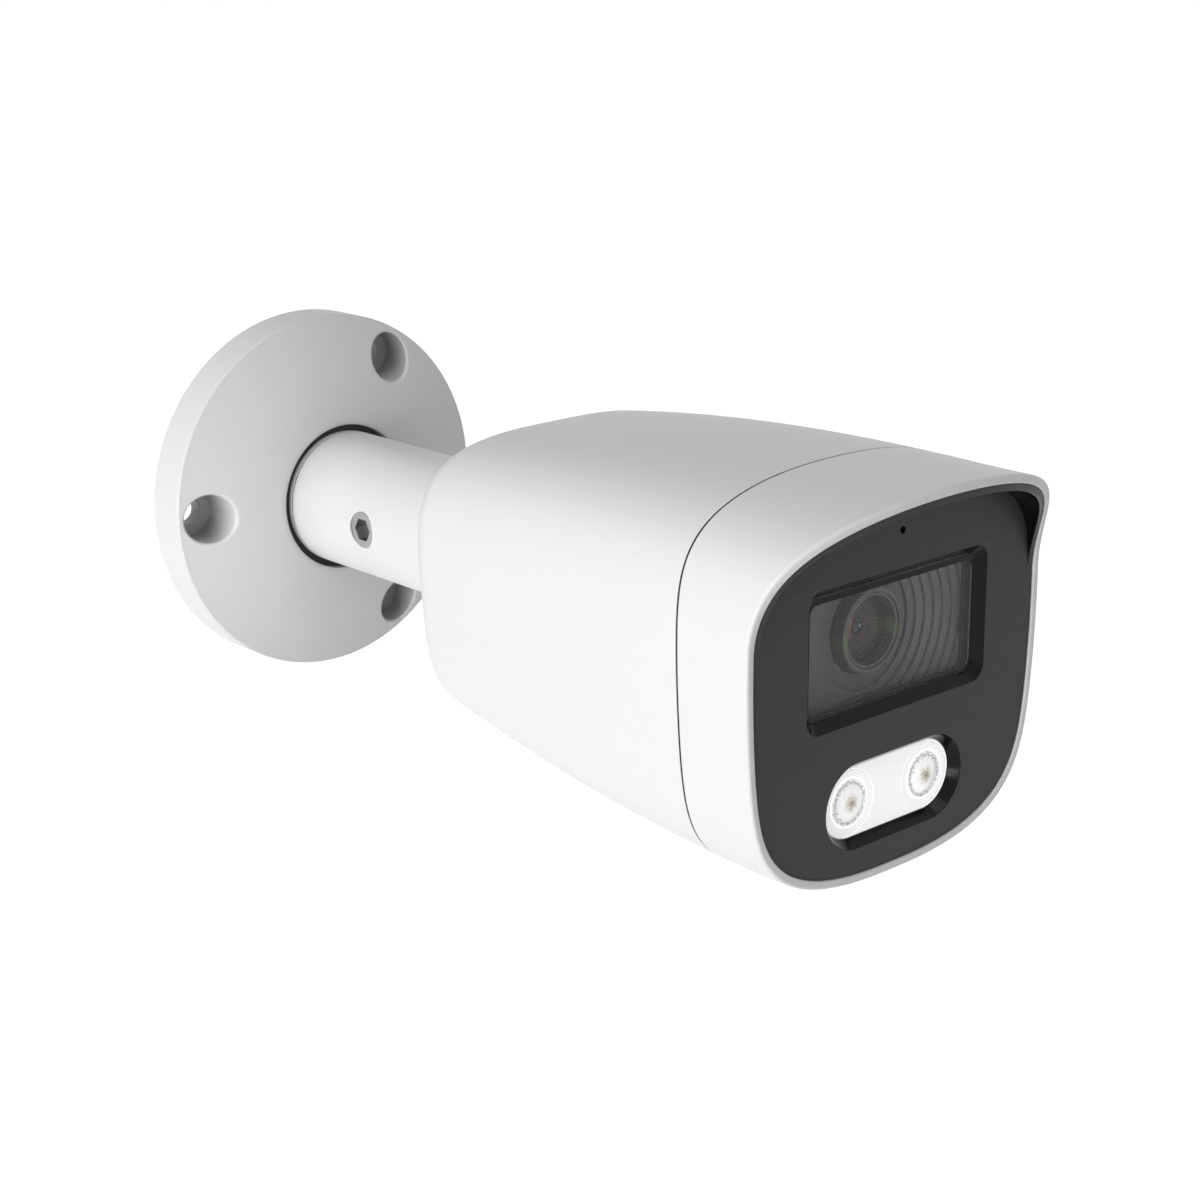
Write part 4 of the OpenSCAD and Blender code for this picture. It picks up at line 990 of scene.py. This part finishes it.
# %% Face mask mesh
liner_in = RIM + LINER
mask_parts = Parts()
outside = [body_ring(mask_back, RIM + 0.05), edge_ring(RIM + 0.05, MASK_SET + 0.15, -5),
           edge_ring(RIM + 0.10, MASK_SET + 0.04, -5), edge_ring(RIM + 0.2, MASK_SET, -MASK_SET),
           edge_ring(liner_in - 0.25, MASK_SET, -MASK_SET),
           edge_ring(liner_in - 0.10, MASK_SET + 0.04, -MASK_SET),
           edge_ring(liner_in - 0.02, MASK_SET + 0.14, -MASK_SET),
           edge_ring(liner_in, MASK_SET + 0.30, -MASK_SET), edge_ring(liner_in, 99, -MASK_SET)]
stack(mask_parts, outside)
window_loops = [rounded_rect(WINDOW_W + d, WINDOW_H + d, WINDOW_R + d / 2, face_plane - t)
                for d, t in ((0.30, 0), (0.10, 0.04), (-0.08, 0.14))]
window_loops += [rounded_rect(SEAT_W, SEAT_H, SEAT_R, glass_front + 0.06),
                 rounded_rect(SEAT_W, SEAT_H, SEAT_R, glass_front + 0.02),
                 rounded_rect(SEAT_W + 2.9, SEAT_H + 2.9, SEAT_R + 0.8, glass_front + 0.02),
                 rounded_rect(SEAT_W + 2.9, SEAT_H + 2.9, SEAT_R + 0.8, mask_back)]
stack(mask_parts, window_loops)
lamp_loops = [pill(RECESS_R + d, face_plane - t) for d, t in ((0.15, 0), (0.05, 0.04), (-0.04, 0.14))]
lamp_loops += [pill(panel_r + 0.10, panel_front), pill(panel_r + 0.05, panel_front - 0.15),
               pill(panel_r + 0.05, mask_back)]
stack(mask_parts, lamp_loops)
mic_loops = [circle(r, out, (0, mic_z), 32) for r, out in (
    (0.66, face_plane), (0.54, face_plane - 0.06), (0.5, face_plane - 0.2), (0.5, mask_back))]
stack(mask_parts, mic_loops)
mask_parts.add(*fill([outside[-1], window_loops[0], lamp_loops[0], mic_loops[0]]))
mask_parts.add(*fill([outside[0], window_loops[-1], lamp_loops[-1], mic_loops[-1]]))
board_front = -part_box("lamp_board")[0].y / MM
shroud_front = span("lens_shroud")["far"]
POST_R, POST_BORE = 2.2, 0.95
for x, z, near in ((19.5, lamp_z, board_front), (24.1, lens_z, shroud_front)):
    for side in (-1, 1):
        mask_parts.add(*lathe([(POST_BORE, near), (POST_R, near), (POST_R, mask_back),
                               (POST_BORE, mask_back)], (side * x, z), 32))

# %% Face mask finishes
land = KDTree(AROUND)
for i in range(AROUND):
    j = (i + 1) % AROUND
    land.insert((outside[3][i] + outside[3][j] + outside[4][i] + outside[4][j]) / 4 / MM, i)
land.balance()


def mask_finish(centre, normal):
    """Satin on the face and on the liner's front edge, gloss on every wall."""
    return 0 if normal.y < -0.9 or land.find(centre)[2] < 0.25 else 1


make_piece("face_mask", mask_parts.points, mask_parts.faces, [mask_black, gloss_black], "camera",
           ["front_mask"], "mask_black", sharp=32, pick=mask_finish)

# %% [markdown]
# ## Window glass
# The glass is a plate with a thin flange under the mask, and its front stands up through the opening
# with a small ground bevel. A black border is printed on it. Along the top it is wider, a band of
# painted shade under the mask's top edge.

# %% Window glass
FLANGE = 1.2
BEVEL = 0.12
GLASS_PLAY, GLASS_STEP = 0.2, 0.05
plate_loops = [rounded_rect(SEAT_W + 2 * wide, SEAT_H + 2 * wide, SEAT_R + r, out) for wide, r, out in (
    (FLANGE, FLANGE, glass_back + 0.1), (FLANGE, FLANGE, glass_front), (-GLASS_PLAY / 2, 0, glass_front),
    (-GLASS_PLAY / 2, 0, glass_front + GLASS_STEP),
    (-GLASS_PLAY / 2 - BEVEL, -BEVEL, glass_front + GLASS_STEP + BEVEL))]
plate_parts = Parts()
stack(plate_parts, plate_loops)
plate_parts.add(*fill([plate_loops[-1]]))
plate_parts.add(*fill([plate_loops[0]]))


def plate_finish(centre, normal):
    """Clear glass on both faces, ground glass on the bevel and the plate's edge."""
    return 0 if abs(normal.y) > 0.9 else 1


make_piece("window_plate", plate_parts.points, plate_parts.faces, [window_clear, glass_edge], "camera",
           ["window_glass"], "window_glass", sharp=20, pick=plate_finish)

# %% Printed border
# Painted shade: the border's band along the top is wider, standing in for the shade under the mask's top
# edge.
BORDER, TOP_SHADE_BAND, INK_T = 0.22, 0.75, 0.02
ink_back = glass_front + GLASS_STEP + BEVEL + 0.004
border_w, border_h = SEAT_W - 0.24 - 2 * BEVEL, SEAT_H - 0.24 - 2 * BEVEL


def border_loop(inset, top_inset, out):
    """A loop round the glass, with its upper edge lowered by an inset of its own."""
    points = rounded_rect(border_w - 2 * inset, border_h - 2 * inset, SEAT_R - BEVEL - inset, out)
    squeeze = 1 - top_inset / (border_h / 2)
    for p in points:
        above = p.z - lens_z * MM
        if above > 0:
            p.z = lens_z * MM + above * squeeze
    return points


border = [border_loop(0, 0, ink_back), border_loop(0, 0, ink_back + INK_T),
          border_loop(BORDER, TOP_SHADE_BAND, ink_back + INK_T), border_loop(BORDER, TOP_SHADE_BAND, ink_back)]
make_piece("window_border", flat_list(border), skin(border, closed=True), [gloss_black], "camera", (),
           "mask_black", sharp=30)

# %% [markdown]
# ## Lens shroud
# Behind the glass a dark block surrounds the lens. A row of small round steps is cut in it, which catch
# stray light before it reaches the lens. They show as fine arcs beside it. The steps are cut as one
# stepped cone, limited to the window's shape. Each step's edge has a tiny chamfer, as moulding needs.

# %% Cutting helpers


def raw_object(name, loops):
    """A plain closed object through loops of points, for cutting with."""
    size = len(loops[0])
    lids = [tuple(range(size)), tuple(range((len(loops) - 1) * size, len(loops) * size))]
    return make_object(name, flat_list(loops), skin(loops) + lids)


def carve(name, block, cutters, mats):
    """The block changed by (operation, object) pairs, as a new object. The tools are thrown away."""
    for operation, tool in cutters:
        step = block.modifiers.new("carve", "BOOLEAN")
        step.operation = operation
        step.solver = "EXACT"
        step.object = tool
    bpy.context.view_layer.update()
    graph = bpy.context.evaluated_depsgraph_get()
    mesh = bpy.data.meshes.new_from_object(block.evaluated_get(graph))
    mesh.materials.clear()
    for mat in mats:
        mesh.materials.append(mat)
    carved = bpy.data.objects.new(name, mesh)
    bpy.context.scene.collection.objects.link(carved)
    for spare in [block] + [tool for operation, tool in cutters]:
        bpy.data.objects.remove(spare)
    return carved


print("cutting helpers ready")

# %% Lens shroud
STEPS = 7
FIRST_STEP_R, STEP_PITCH, STEP_CHAMFER = 9.9, 1.6, 0.10
HOLE_R, FLOOR_T, SIDE_T = 7.4, 0.9, 0.4
EAR_X, EAR_R, EAR_T, EAR_HOLE_R = 24.1, 2.2, 1.2, 1.05
BLOCK_W, BLOCK_H, BLOCK_R = SEAT_W + 2.6, SEAT_H + 2.6, 2.5
shroud_back = span("lens_shroud")["near"]
first_tread = shroud_back + FLOOR_T
step_rise = (shroud_front - 0.2 - first_tread) / STEPS

steps = [(HOLE_R, shroud_back - 1), (HOLE_R, first_tread)]
for k in range(STEPS):
    r = FIRST_STEP_R + k * STEP_PITCH
    tread = first_tread + k * step_rise
    steps += [(r, tread), (r, tread + step_rise - STEP_CHAMFER), (r + STEP_CHAMFER, tread + step_rise)]
steps += [(BLOCK_W, first_tread + STEPS * step_rise + 0.02), (BLOCK_W, shroud_front + 1)]
cone = [circle(r, out, (0, lens_z), 144) for r, out in steps]
mouth = raw_object("mouth", [rounded_rect(BLOCK_W - 2 * SIDE_T, BLOCK_H - 2 * SIDE_T, SEAT_R, out)
                             for out in (shroud_back - 2, shroud_front + 2)])
cavity = carve("cavity", raw_object("cone", cone), [("INTERSECT", mouth)], [shroud_lit_grey])
block = raw_object("block", [rounded_rect(BLOCK_W, BLOCK_H, BLOCK_R, out)
                             for out in (shroud_back, shroud_front)])
tools = []
for side in (-1, 1):
    ear = [(EAR_X * side + px * side, lens_z + pz) for px, pz in arc(0, 0, EAR_R, -90, 90, 20)]
    ear += [(19.9 * side, lens_z + 1.6), (19.9 * side, lens_z - 1.6)]
    tools.append(("UNION", raw_object("ear", [[place(px, out, pz) for px, pz in ear]
                                              for out in (shroud_front - EAR_T, shroud_front)])))
for side in (-1, 1):
    tools.append(("DIFFERENCE", raw_object("ear_hole", [circle(EAR_HOLE_R, out, (side * EAR_X, lens_z), 32)
                                                        for out in (shroud_back, shroud_front + 1)])))
shroud = carve("stepped_shroud", block, tools + [("DIFFERENCE", cavity)], [shroud_lit_grey, shroud_shaded_dark])
# Faces turned forward take the painted lit grey, all other faces the painted shade.
for face in shroud.data.polygons:
    face.material_index = 0 if face.normal.y < -0.9 else 1
dress(shroud, "camera", ["lens_shroud"], sharp=25)

# %% [markdown]
# ## Lens
# The lens is a turned barrel with a retaining ring, a domed front glass, a stepped stop behind it and a
# small inner glass. All are turned on one axis, so each is a short profile. The fine steps on the stop
# are what gives a lens its concentric lines when one looks into it.

# %% Lens
barrel = span("lens_barrel")
front_glass = span("front_lens")
front_r = (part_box("front_lens")[1].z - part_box("front_lens")[0].z) / 2 / MM
barrel_r = (lens_high.z - lens_low.z) / 2 / MM
THREAD_R, BORE_R = 6.0, 4.2
axis = (0, lens_z)
tip = barrel["far"]
seat = front_glass["near"]
THREAD_PITCH = 0.5
thread_top = seat - 1.0
threads = int((thread_top - barrel["near"]) / THREAD_PITCH)
thread = []
for k in range(threads):
    start = thread_top - k * THREAD_PITCH
    thread += [(THREAD_R, start - 0.1), (THREAD_R - 0.22, start - 0.35)]
profile = [(BORE_R, barrel["near"]), (BORE_R, seat),
           (front_r + 0.05, seat), (front_r + 0.05, tip - 0.75),
           (front_r + 0.25, tip - 0.35), (front_r + 0.55, tip - 0.30), (front_r + 0.60, tip - 0.42),
           (front_r + 0.68, tip - 0.42), (front_r + 0.74, tip - 0.12), (front_r + 0.95, tip),
           (barrel_r - 0.30, tip), (barrel_r - 0.08, tip - 0.10), (barrel_r, tip - 0.32),
           (barrel_r, thread_top + 0.3), (barrel_r - 0.2, thread_top + 0.1),
           (THREAD_R, thread_top + 0.1)]
profile += thread + [(THREAD_R - 0.3, barrel["near"])]
print(threads, "thread turns")

# %% Lens finishes


def paint_reflection(mat, at, size, colour):
    """A soft patch of painted reflection colour at (x, z), standing in for a coating's coloured glint."""
    tree = mat.node_tree
    shift = tree.nodes.new("ShaderNodeVectorMath")
    shift.operation = "SUBTRACT"
    shift.inputs[1].default_value = (at[0] * MM, 0, at[1] * MM)
    tree.links.new(object_coords(mat), shift.inputs[0])
    scale = tree.nodes.new("ShaderNodeVectorMath")
    scale.operation = "MULTIPLY"
    scale.inputs[1].default_value = (1 / (size[0] * MM), 0, 1 / (size[1] * MM))
    tree.links.new(shift.outputs[0], scale.inputs[0])
    reach = tree.nodes.new("ShaderNodeVectorMath")
    reach.operation = "LENGTH"
    tree.links.new(scale.outputs[0], reach.inputs[0])
    fade = tree.nodes.new("ShaderNodeMapRange")
    fade.interpolation_type = "SMOOTHSTEP"
    fade.inputs["To Min"].default_value = 1.0
    fade.inputs["To Max"].default_value = 0.0
    tree.links.new(reach.outputs["Value"], fade.inputs["Value"])
    under = shader(mat).inputs["Base Color"].links[0].from_socket
    colour_by(mat, mix_colour(mat, fade.outputs["Result"], under, colour))


barrel_black = new_finish("barrel_black", (0.040, 0.040, 0.041), 0.34, Specular_IOR_Level=0.4)
# The lighter grey picks out the forward-facing lands as a painted highlight.
barrel_highlight_grey = new_finish("barrel_highlight_grey", (0.13, 0.13, 0.132), 0.42, Specular_IOR_Level=0.4)
# Painted reflections: green coating glints on both sides of the barrel.
for mat in (barrel_black, barrel_highlight_grey):
    uneven(mat, 2.0, shade=0.08, rough=0.04)
    rough_skin(mat, 0.5, 0.0005)
    paint_reflection(mat, (-5.9, lens_z - 0.6), (1.5, 2.4), (0.16, 0.26, 0.04))
    paint_reflection(mat, (5.6, lens_z - 0.8), (1.3, 2.2), (0.075, 0.12, 0.04))


def barrel_finish(centre, normal):
    """Painted highlight grey on the two lands that face forward, black elsewhere."""
    r = math.hypot(centre.x, centre.z - lens_z)
    outer_land = barrel_r - 0.55 < r < barrel_r - 0.05
    inner_land = front_r + 0.22 < r < front_r + 0.58
    return 1 if normal.y < -0.5 and (outer_land or inner_land) else 0


stop_black = new_finish("stop_black", (0.050, 0.050, 0.051), 0.40, Specular_IOR_Level=0.3)
uneven(stop_black, 2.0, shade=0.08, rough=0.04)
rough_skin(stop_black, 0.5, 0.0005)
# Painted reflections: a green glint and an orange crescent on the stop.
paint_reflection(stop_black, (3.4, lens_z - 0.6), (1.2, 1.9), (0.07, 0.11, 0.04))
paint_reflection(stop_black, (-1.8, lens_z + 0.5), (1.1, 2.6), (1.0, 0.40, 0.17))
inner_coated = new_finish("inner_coated", (0.020, 0.024, 0.018), 0.05, IOR=1.5)
uneven(inner_coated, 1.0, shade=0.05, rough=0.01)
# Painted highlight: a small pale glint at the middle of the inner glass.
paint_reflection(inner_coated, (0.25, lens_z + 0.1), (0.36, 0.42), (0.90, 1.0, 0.70))
print("lens finishes ready")

# %% Barrel and glasses
make_piece("barrel", *lathe(profile, axis, 96), [barrel_black, barrel_highlight_grey], "camera", ["lens_barrel"],
           "black_plastic", sharp=30, pick=barrel_finish)

DOME_R, GLASS_T = 9.0, 1.0
dome_top = front_glass["far"]
hollow = front_r - 0.6
dome = [(r, dome_top - GLASS_T - DOME_R + math.sqrt(DOME_R ** 2 - r ** 2))
        for r in [0.02] + [hollow * k / 8 for k in range(1, 9)]]
dome += [(hollow, seat + 0.02), (front_r - 0.02, seat + 0.02)]
for k in range(17):
    r = front_r * (1 - k / 16)
    dome.append((max(0.02, r), dome_top - DOME_R + math.sqrt(DOME_R ** 2 - r ** 2)))
print("front glass", round(dome_top - seat, 2), "mm high, set", round(tip - dome_top, 2), "mm back")
make_piece("front_glass", *lathe(dome, axis, 96), [lens_coated], "camera", ["front_lens"],
           "lens_glass", sharp=30)

STOP_STEPS, STOP_HOLE, INNER_R = 7, 1.35, 1.3
stop_top = dome_top - GLASS_T - 1.35
stop = [(BORE_R - 0.03, stop_top), (BORE_R - 0.03, seat - 1.9), (STOP_HOLE, seat - 1.9)]
for k in range(STOP_STEPS):
    r = lerp(STOP_HOLE, BORE_R - 0.25, k / STOP_STEPS)
    r_next = lerp(STOP_HOLE, BORE_R - 0.25, (k + 1) / STOP_STEPS)
    tread = lerp(stop_top - 0.7, stop_top - 0.05, (k + 0.5) / STOP_STEPS)
    stop += [(r, tread), (r_next, tread + 0.06)]
stop.append((BORE_R - 0.25, stop_top))
make_piece("lens_stop", *lathe(stop, axis, 72), [stop_black], "camera", (), "black_plastic", sharp=25)

inner = [(0.02, stop_top - 1.4), (INNER_R, stop_top - 1.4), (INNER_R, stop_top - 0.8)]
inner += [(max(0.02, INNER_R * math.cos(a)), stop_top - 0.8 + 0.5 * math.sin(a)) for a in quarter_turn[1:]]
make_piece("inner_glass", *lathe(inner, axis, 48), [inner_coated], "camera", (), "lens_glass", sharp=40)

# %% [markdown]
# ## Lamp panel and lamp lenses
# The white panel has a soft outer edge. Round each lamp runs a shallow circular groove, and inside it
# the panel dips towards the lens. Each lens has a rim, a moat and a low dome.

# %% Lamp panel
GROOVE_R = 5.5
panel_parts = Parts()
shoulder = [pill(panel_r - 0.03, panel_back), pill(panel_r - 0.03, panel_front - 0.25),
            pill(panel_r - 0.11, panel_front - 0.07), pill(panel_r - 0.28, panel_front)]
stack(panel_parts, shoulder)
tops, bottoms = [shoulder[-1]], [shoulder[0]]
for side in (-1, 1):
    centre = (side * lamp_x, lamp_z)
    dip = [circle(r, panel_front - t, centre, 72) for r, t in (
        (GROOVE_R + 0.06, 0), (GROOVE_R, 0.07), (GROOVE_R - 0.14, 0.07), (GROOVE_R - 0.22, 0.01),
        (lamp_r + 0.55, 0.04), (lamp_r + 0.20, 0.14), (lamp_r + 0.06, 0.35),
        (lamp_r + 0.06, panel_front - panel_back))]
    stack(panel_parts, dip)
    tops.append(dip[0])
    bottoms.append(dip[-1])
panel_parts.add(*fill(tops))
panel_parts.add(*fill(bottoms))
make_piece("lamp_plate", panel_parts.points, panel_parts.faces, [panel_white], "camera",
           ["lamp_panel"], "white_plastic", sharp=25)

# %% Lamp lenses
chip_high = span("lamp_chips")["far"]
DOME_RISE = 0.60
crown = lamp_r - 0.60
lens_parts = Parts()
for side in (-1, 1):
    rim = [(0.02, chip_high + 0.5), (2.3, chip_high + 0.5), (2.3, board_front), (lamp_r, board_front),
           (lamp_r, panel_front - 0.12), (lamp_r - 0.10, panel_front), (lamp_r - 0.34, panel_front + 0.02),
           (lamp_r - 0.46, panel_front - 0.12), (crown, panel_front - 0.05)]
    for k in range(1, 13):
        r = crown * (1 - k / 12)
        rim.append((max(0.02, r), panel_front - 0.05 + DOME_RISE * (1 - (r / crown) ** 2)))
    lens_parts.add(*lathe(rim, (side * lamp_x, lamp_z), 72))
make_piece("lamp_domes", lens_parts.points, lens_parts.faces, [lamp_clear], "camera",
           ["lamp_lenses"], "clear_plastic", sharp=30)

# %% [markdown]
# ## Wall base
# The base is turned to a shallow cone, then three pockets are sunk for the screw heads. Their mouths
# have a soft round, as a casting has. The pockets meet a sloping surface, so the round's height follows
# the slope all the way round: the cutter's last rings are lifted to the cone at each of their points.

# %% Wall base
base_r = (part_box("base_plate")[1].x) / MM
base_top = span("base_plate")["far"]
BASE_BORE = 9.45
RIM_H, EDGE = 8.8, 0.6
SEAT_IN, SEAT_DEPTH = 14.2, 1.4
POCKET_BACK_R, POCKET_BACK = 16.2, 4.5
SCREW_R, HEAD_R, SCREW_FLOOR, MOUTH = 2.4, 4.7, 3.2, 0.6
screws = [m for m in frame["record"]["mounts"] if m["name"] == "wall_screws"][0]
screw_circle = screws["dims"]["pcd_mm"] / 2


def cone_height(radius):
    """Height of the base's sloping front at a radius."""
    k = (base_r - EDGE - radius) / (base_r - EDGE - SEAT_IN - 0.3)
    k = min(1.0, max(0.0, k))
    return lerp(RIM_H, base_top, k) + 0.6 * math.sin(math.pi * k)


base_profile = [(BASE_BORE, POCKET_BACK), (POCKET_BACK_R, POCKET_BACK), (POCKET_BACK_R, 0.2),
                (POCKET_BACK_R + 0.2, 0), (base_r - EDGE, 0)]
base_profile += [(base_r - EDGE * (1 - math.sin(a)), EDGE * (1 - math.cos(a))) for a in quarter_turn[1:]]
base_profile += [(base_r - EDGE * (1 - math.cos(a)), RIM_H - EDGE * (1 - math.sin(a)))
                 for a in quarter_turn]
slope = [lerp(base_r - EDGE, SEAT_IN + 0.35, k / 24) for k in range(1, 25)]
base_profile += [(r, cone_height(r)) for r in slope]
base_profile += [(SEAT_IN + 0.12, base_top - 0.08), (SEAT_IN, base_top - 0.3),
                 (SEAT_IN, base_top - SEAT_DEPTH), (BASE_BORE, base_top - SEAT_DEPTH)]


def pocket_cutter(angle):
    """A closed cutter for one screw pocket and its through hole."""
    cx, cz = screw_circle * math.cos(angle), screw_circle * math.sin(angle)
    count = 72
    loops = [circle(r, out, (cx, cz), count) for r, out in (
        (SCREW_R, -1), (SCREW_R, SCREW_FLOOR - 0.25), (SCREW_R + 0.25, SCREW_FLOOR), (HEAD_R, SCREW_FLOOR))]
    for a in [math.radians(d) for d in (0, 18, 36, 54, 72)] + [None]:
        widen = MOUTH + 0.5 if a is None else MOUTH * (1 - math.cos(a))
        sink = -0.45 if a is None else MOUTH * (1 - math.sin(a))
        loop = []
        for i in range(count):
            t = 2 * math.pi * i / count
            x = cx + (HEAD_R + widen) * math.cos(t)
            z = cz + (HEAD_R + widen) * math.sin(t)
            loop.append(place(x, cone_height(math.hypot(x, z)) - sink, z))
        loops.append(loop)
    return raw_object("cutter", loops)


print("base profile of", len(base_profile), "points")

# %% Wall base, cut
FLANGE_CIRCLE, FLANGE_HOLE_R, FLANGE_HOLE_DEPTH = 11.4, 1.3, 6.1
base_raw = make_object("wall_plate_raw", *lathe(base_profile, (0, 0), 256))
cutters = [("DIFFERENCE", pocket_cutter(math.radians(60 + 120 * k))) for k in range(3)]
for k in range(3):
    angle = math.radians(30 + 120 * k)
    centre = (FLANGE_CIRCLE * math.cos(angle), FLANGE_CIRCLE * math.sin(angle))
    hole = [circle(FLANGE_HOLE_R, POCKET_BACK + out, centre, 24) for out in (-1, FLANGE_HOLE_DEPTH)]
    cutters.append(("DIFFERENCE", raw_object("cutter", hole)))
wall_plate = carve("wall_plate", base_raw, cutters, [white_coat])
dress(wall_plate, "base", ["base_plate"], sharp=32)

# %% [markdown]
# ## Foot seal
# A rubber ring sits in the recess round the arm's foot. Its outer edge slopes away from the arm, and the
# groove that this leaves is what draws the shadow line round the foot.

# %% Foot seal
seal_grey = new_finish("seal_rubber", (0.050, 0.050, 0.051), 0.70, Specular_IOR_Level=0.3)
uneven(seal_grey, 1.4, shade=0.15, rough=0.08)
rough_skin(seal_grey, 0.5, 0.010)
seal = span("foot_seal")
seal_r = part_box("foot_seal")[1].x / MM
arm_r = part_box("arm_tube")[1].x / MM
SEAL_BORE = 10.0


def seal_finish(centre, normal):
    """The ring's upright lip under the arm is white rubber, the rest is grey."""
    return 1 if math.hypot(centre.x, centre.z) < arm_r and -centre.y > seal["near"] + 0.2 else 0


make_piece("foot_ring", *lathe([(SEAL_BORE, seal["near"]), (seal_r, seal["near"]),
                                (seal_r, seal["near"] + 0.10), (arm_r, seal["near"] + 0.12),
                                (arm_r - 0.06, seal["near"] + 0.24), (arm_r - 0.06, seal["far"] - 0.1),
                                (arm_r - 0.2, seal["far"]), (SEAL_BORE, seal["far"])], (0, 0), 192),
           [seal_grey, white_coat], "base", ["foot_seal"], "rubber_black", sharp=30, pick=seal_finish)

# %% [markdown]
# ## Finishes for the frame's own pieces
# The other pieces keep their shape from the frame, because it is already right. Each gets the finish of
# the real part. One table lists them, and a loop prints any piece left without one.

# %% Finishes by piece
FINISHES = {
    white_coat: "arm_tube",
    turned_aluminium: "pivot_spigot ball_stud ball_cup",
    brushed_aluminium: "chassis_plate heat_sink cup_retainer",
    zinc_steel: "spigot_screws retainer_screws case_screws plate_screws board_screws shroud_screws"
                " lamp_screws tilt_pins microphone",
    lock_steel: "lock_screw",
    rubber_black: "cable_grommet housing_seal mask_seal window_gasket mic_boot",
    foam_black: "lens_foam",
    black_plastic: "seat_nut lens_mount lens_lock_ring filter_frame",
    nylon: "ball_seat friction_washer board_connectors",
    white_plastic: "cable_header",
    green_board: "sensor_board main_board power_board",
    white_board: "lamp_board",
    chip_black: "image_sensor processor memory_chips network_transformer",
    lamp_phosphor: "lamp_chips",
    turned_brass: "board_spacers",
    copper_winding: "filter_coil",
    silicone_pad: "thermal_pad",
    capacitor_blue: "capacitors",
    bag_paper: "desiccant_pack",
    lens_coated: "rear_lens",
    filter_clear: "day_filter night_filter",
}
REBUILT = {"rear_housing", "front_ring", "front_mask", "window_glass", "lens_shroud", "lens_barrel",
           "front_lens", "lamp_panel", "lamp_lenses", "base_plate", "foot_seal"}
finished = set()
for mat, names in FINISHES.items():
    for name in names.split():
        mesh = nodes[name].data
        mesh.materials.clear()
        mesh.materials.append(mat)
        finished.add(name)
print("finished", len(finished), "pieces, left over:", sorted(set(nodes) - finished - REBUILT))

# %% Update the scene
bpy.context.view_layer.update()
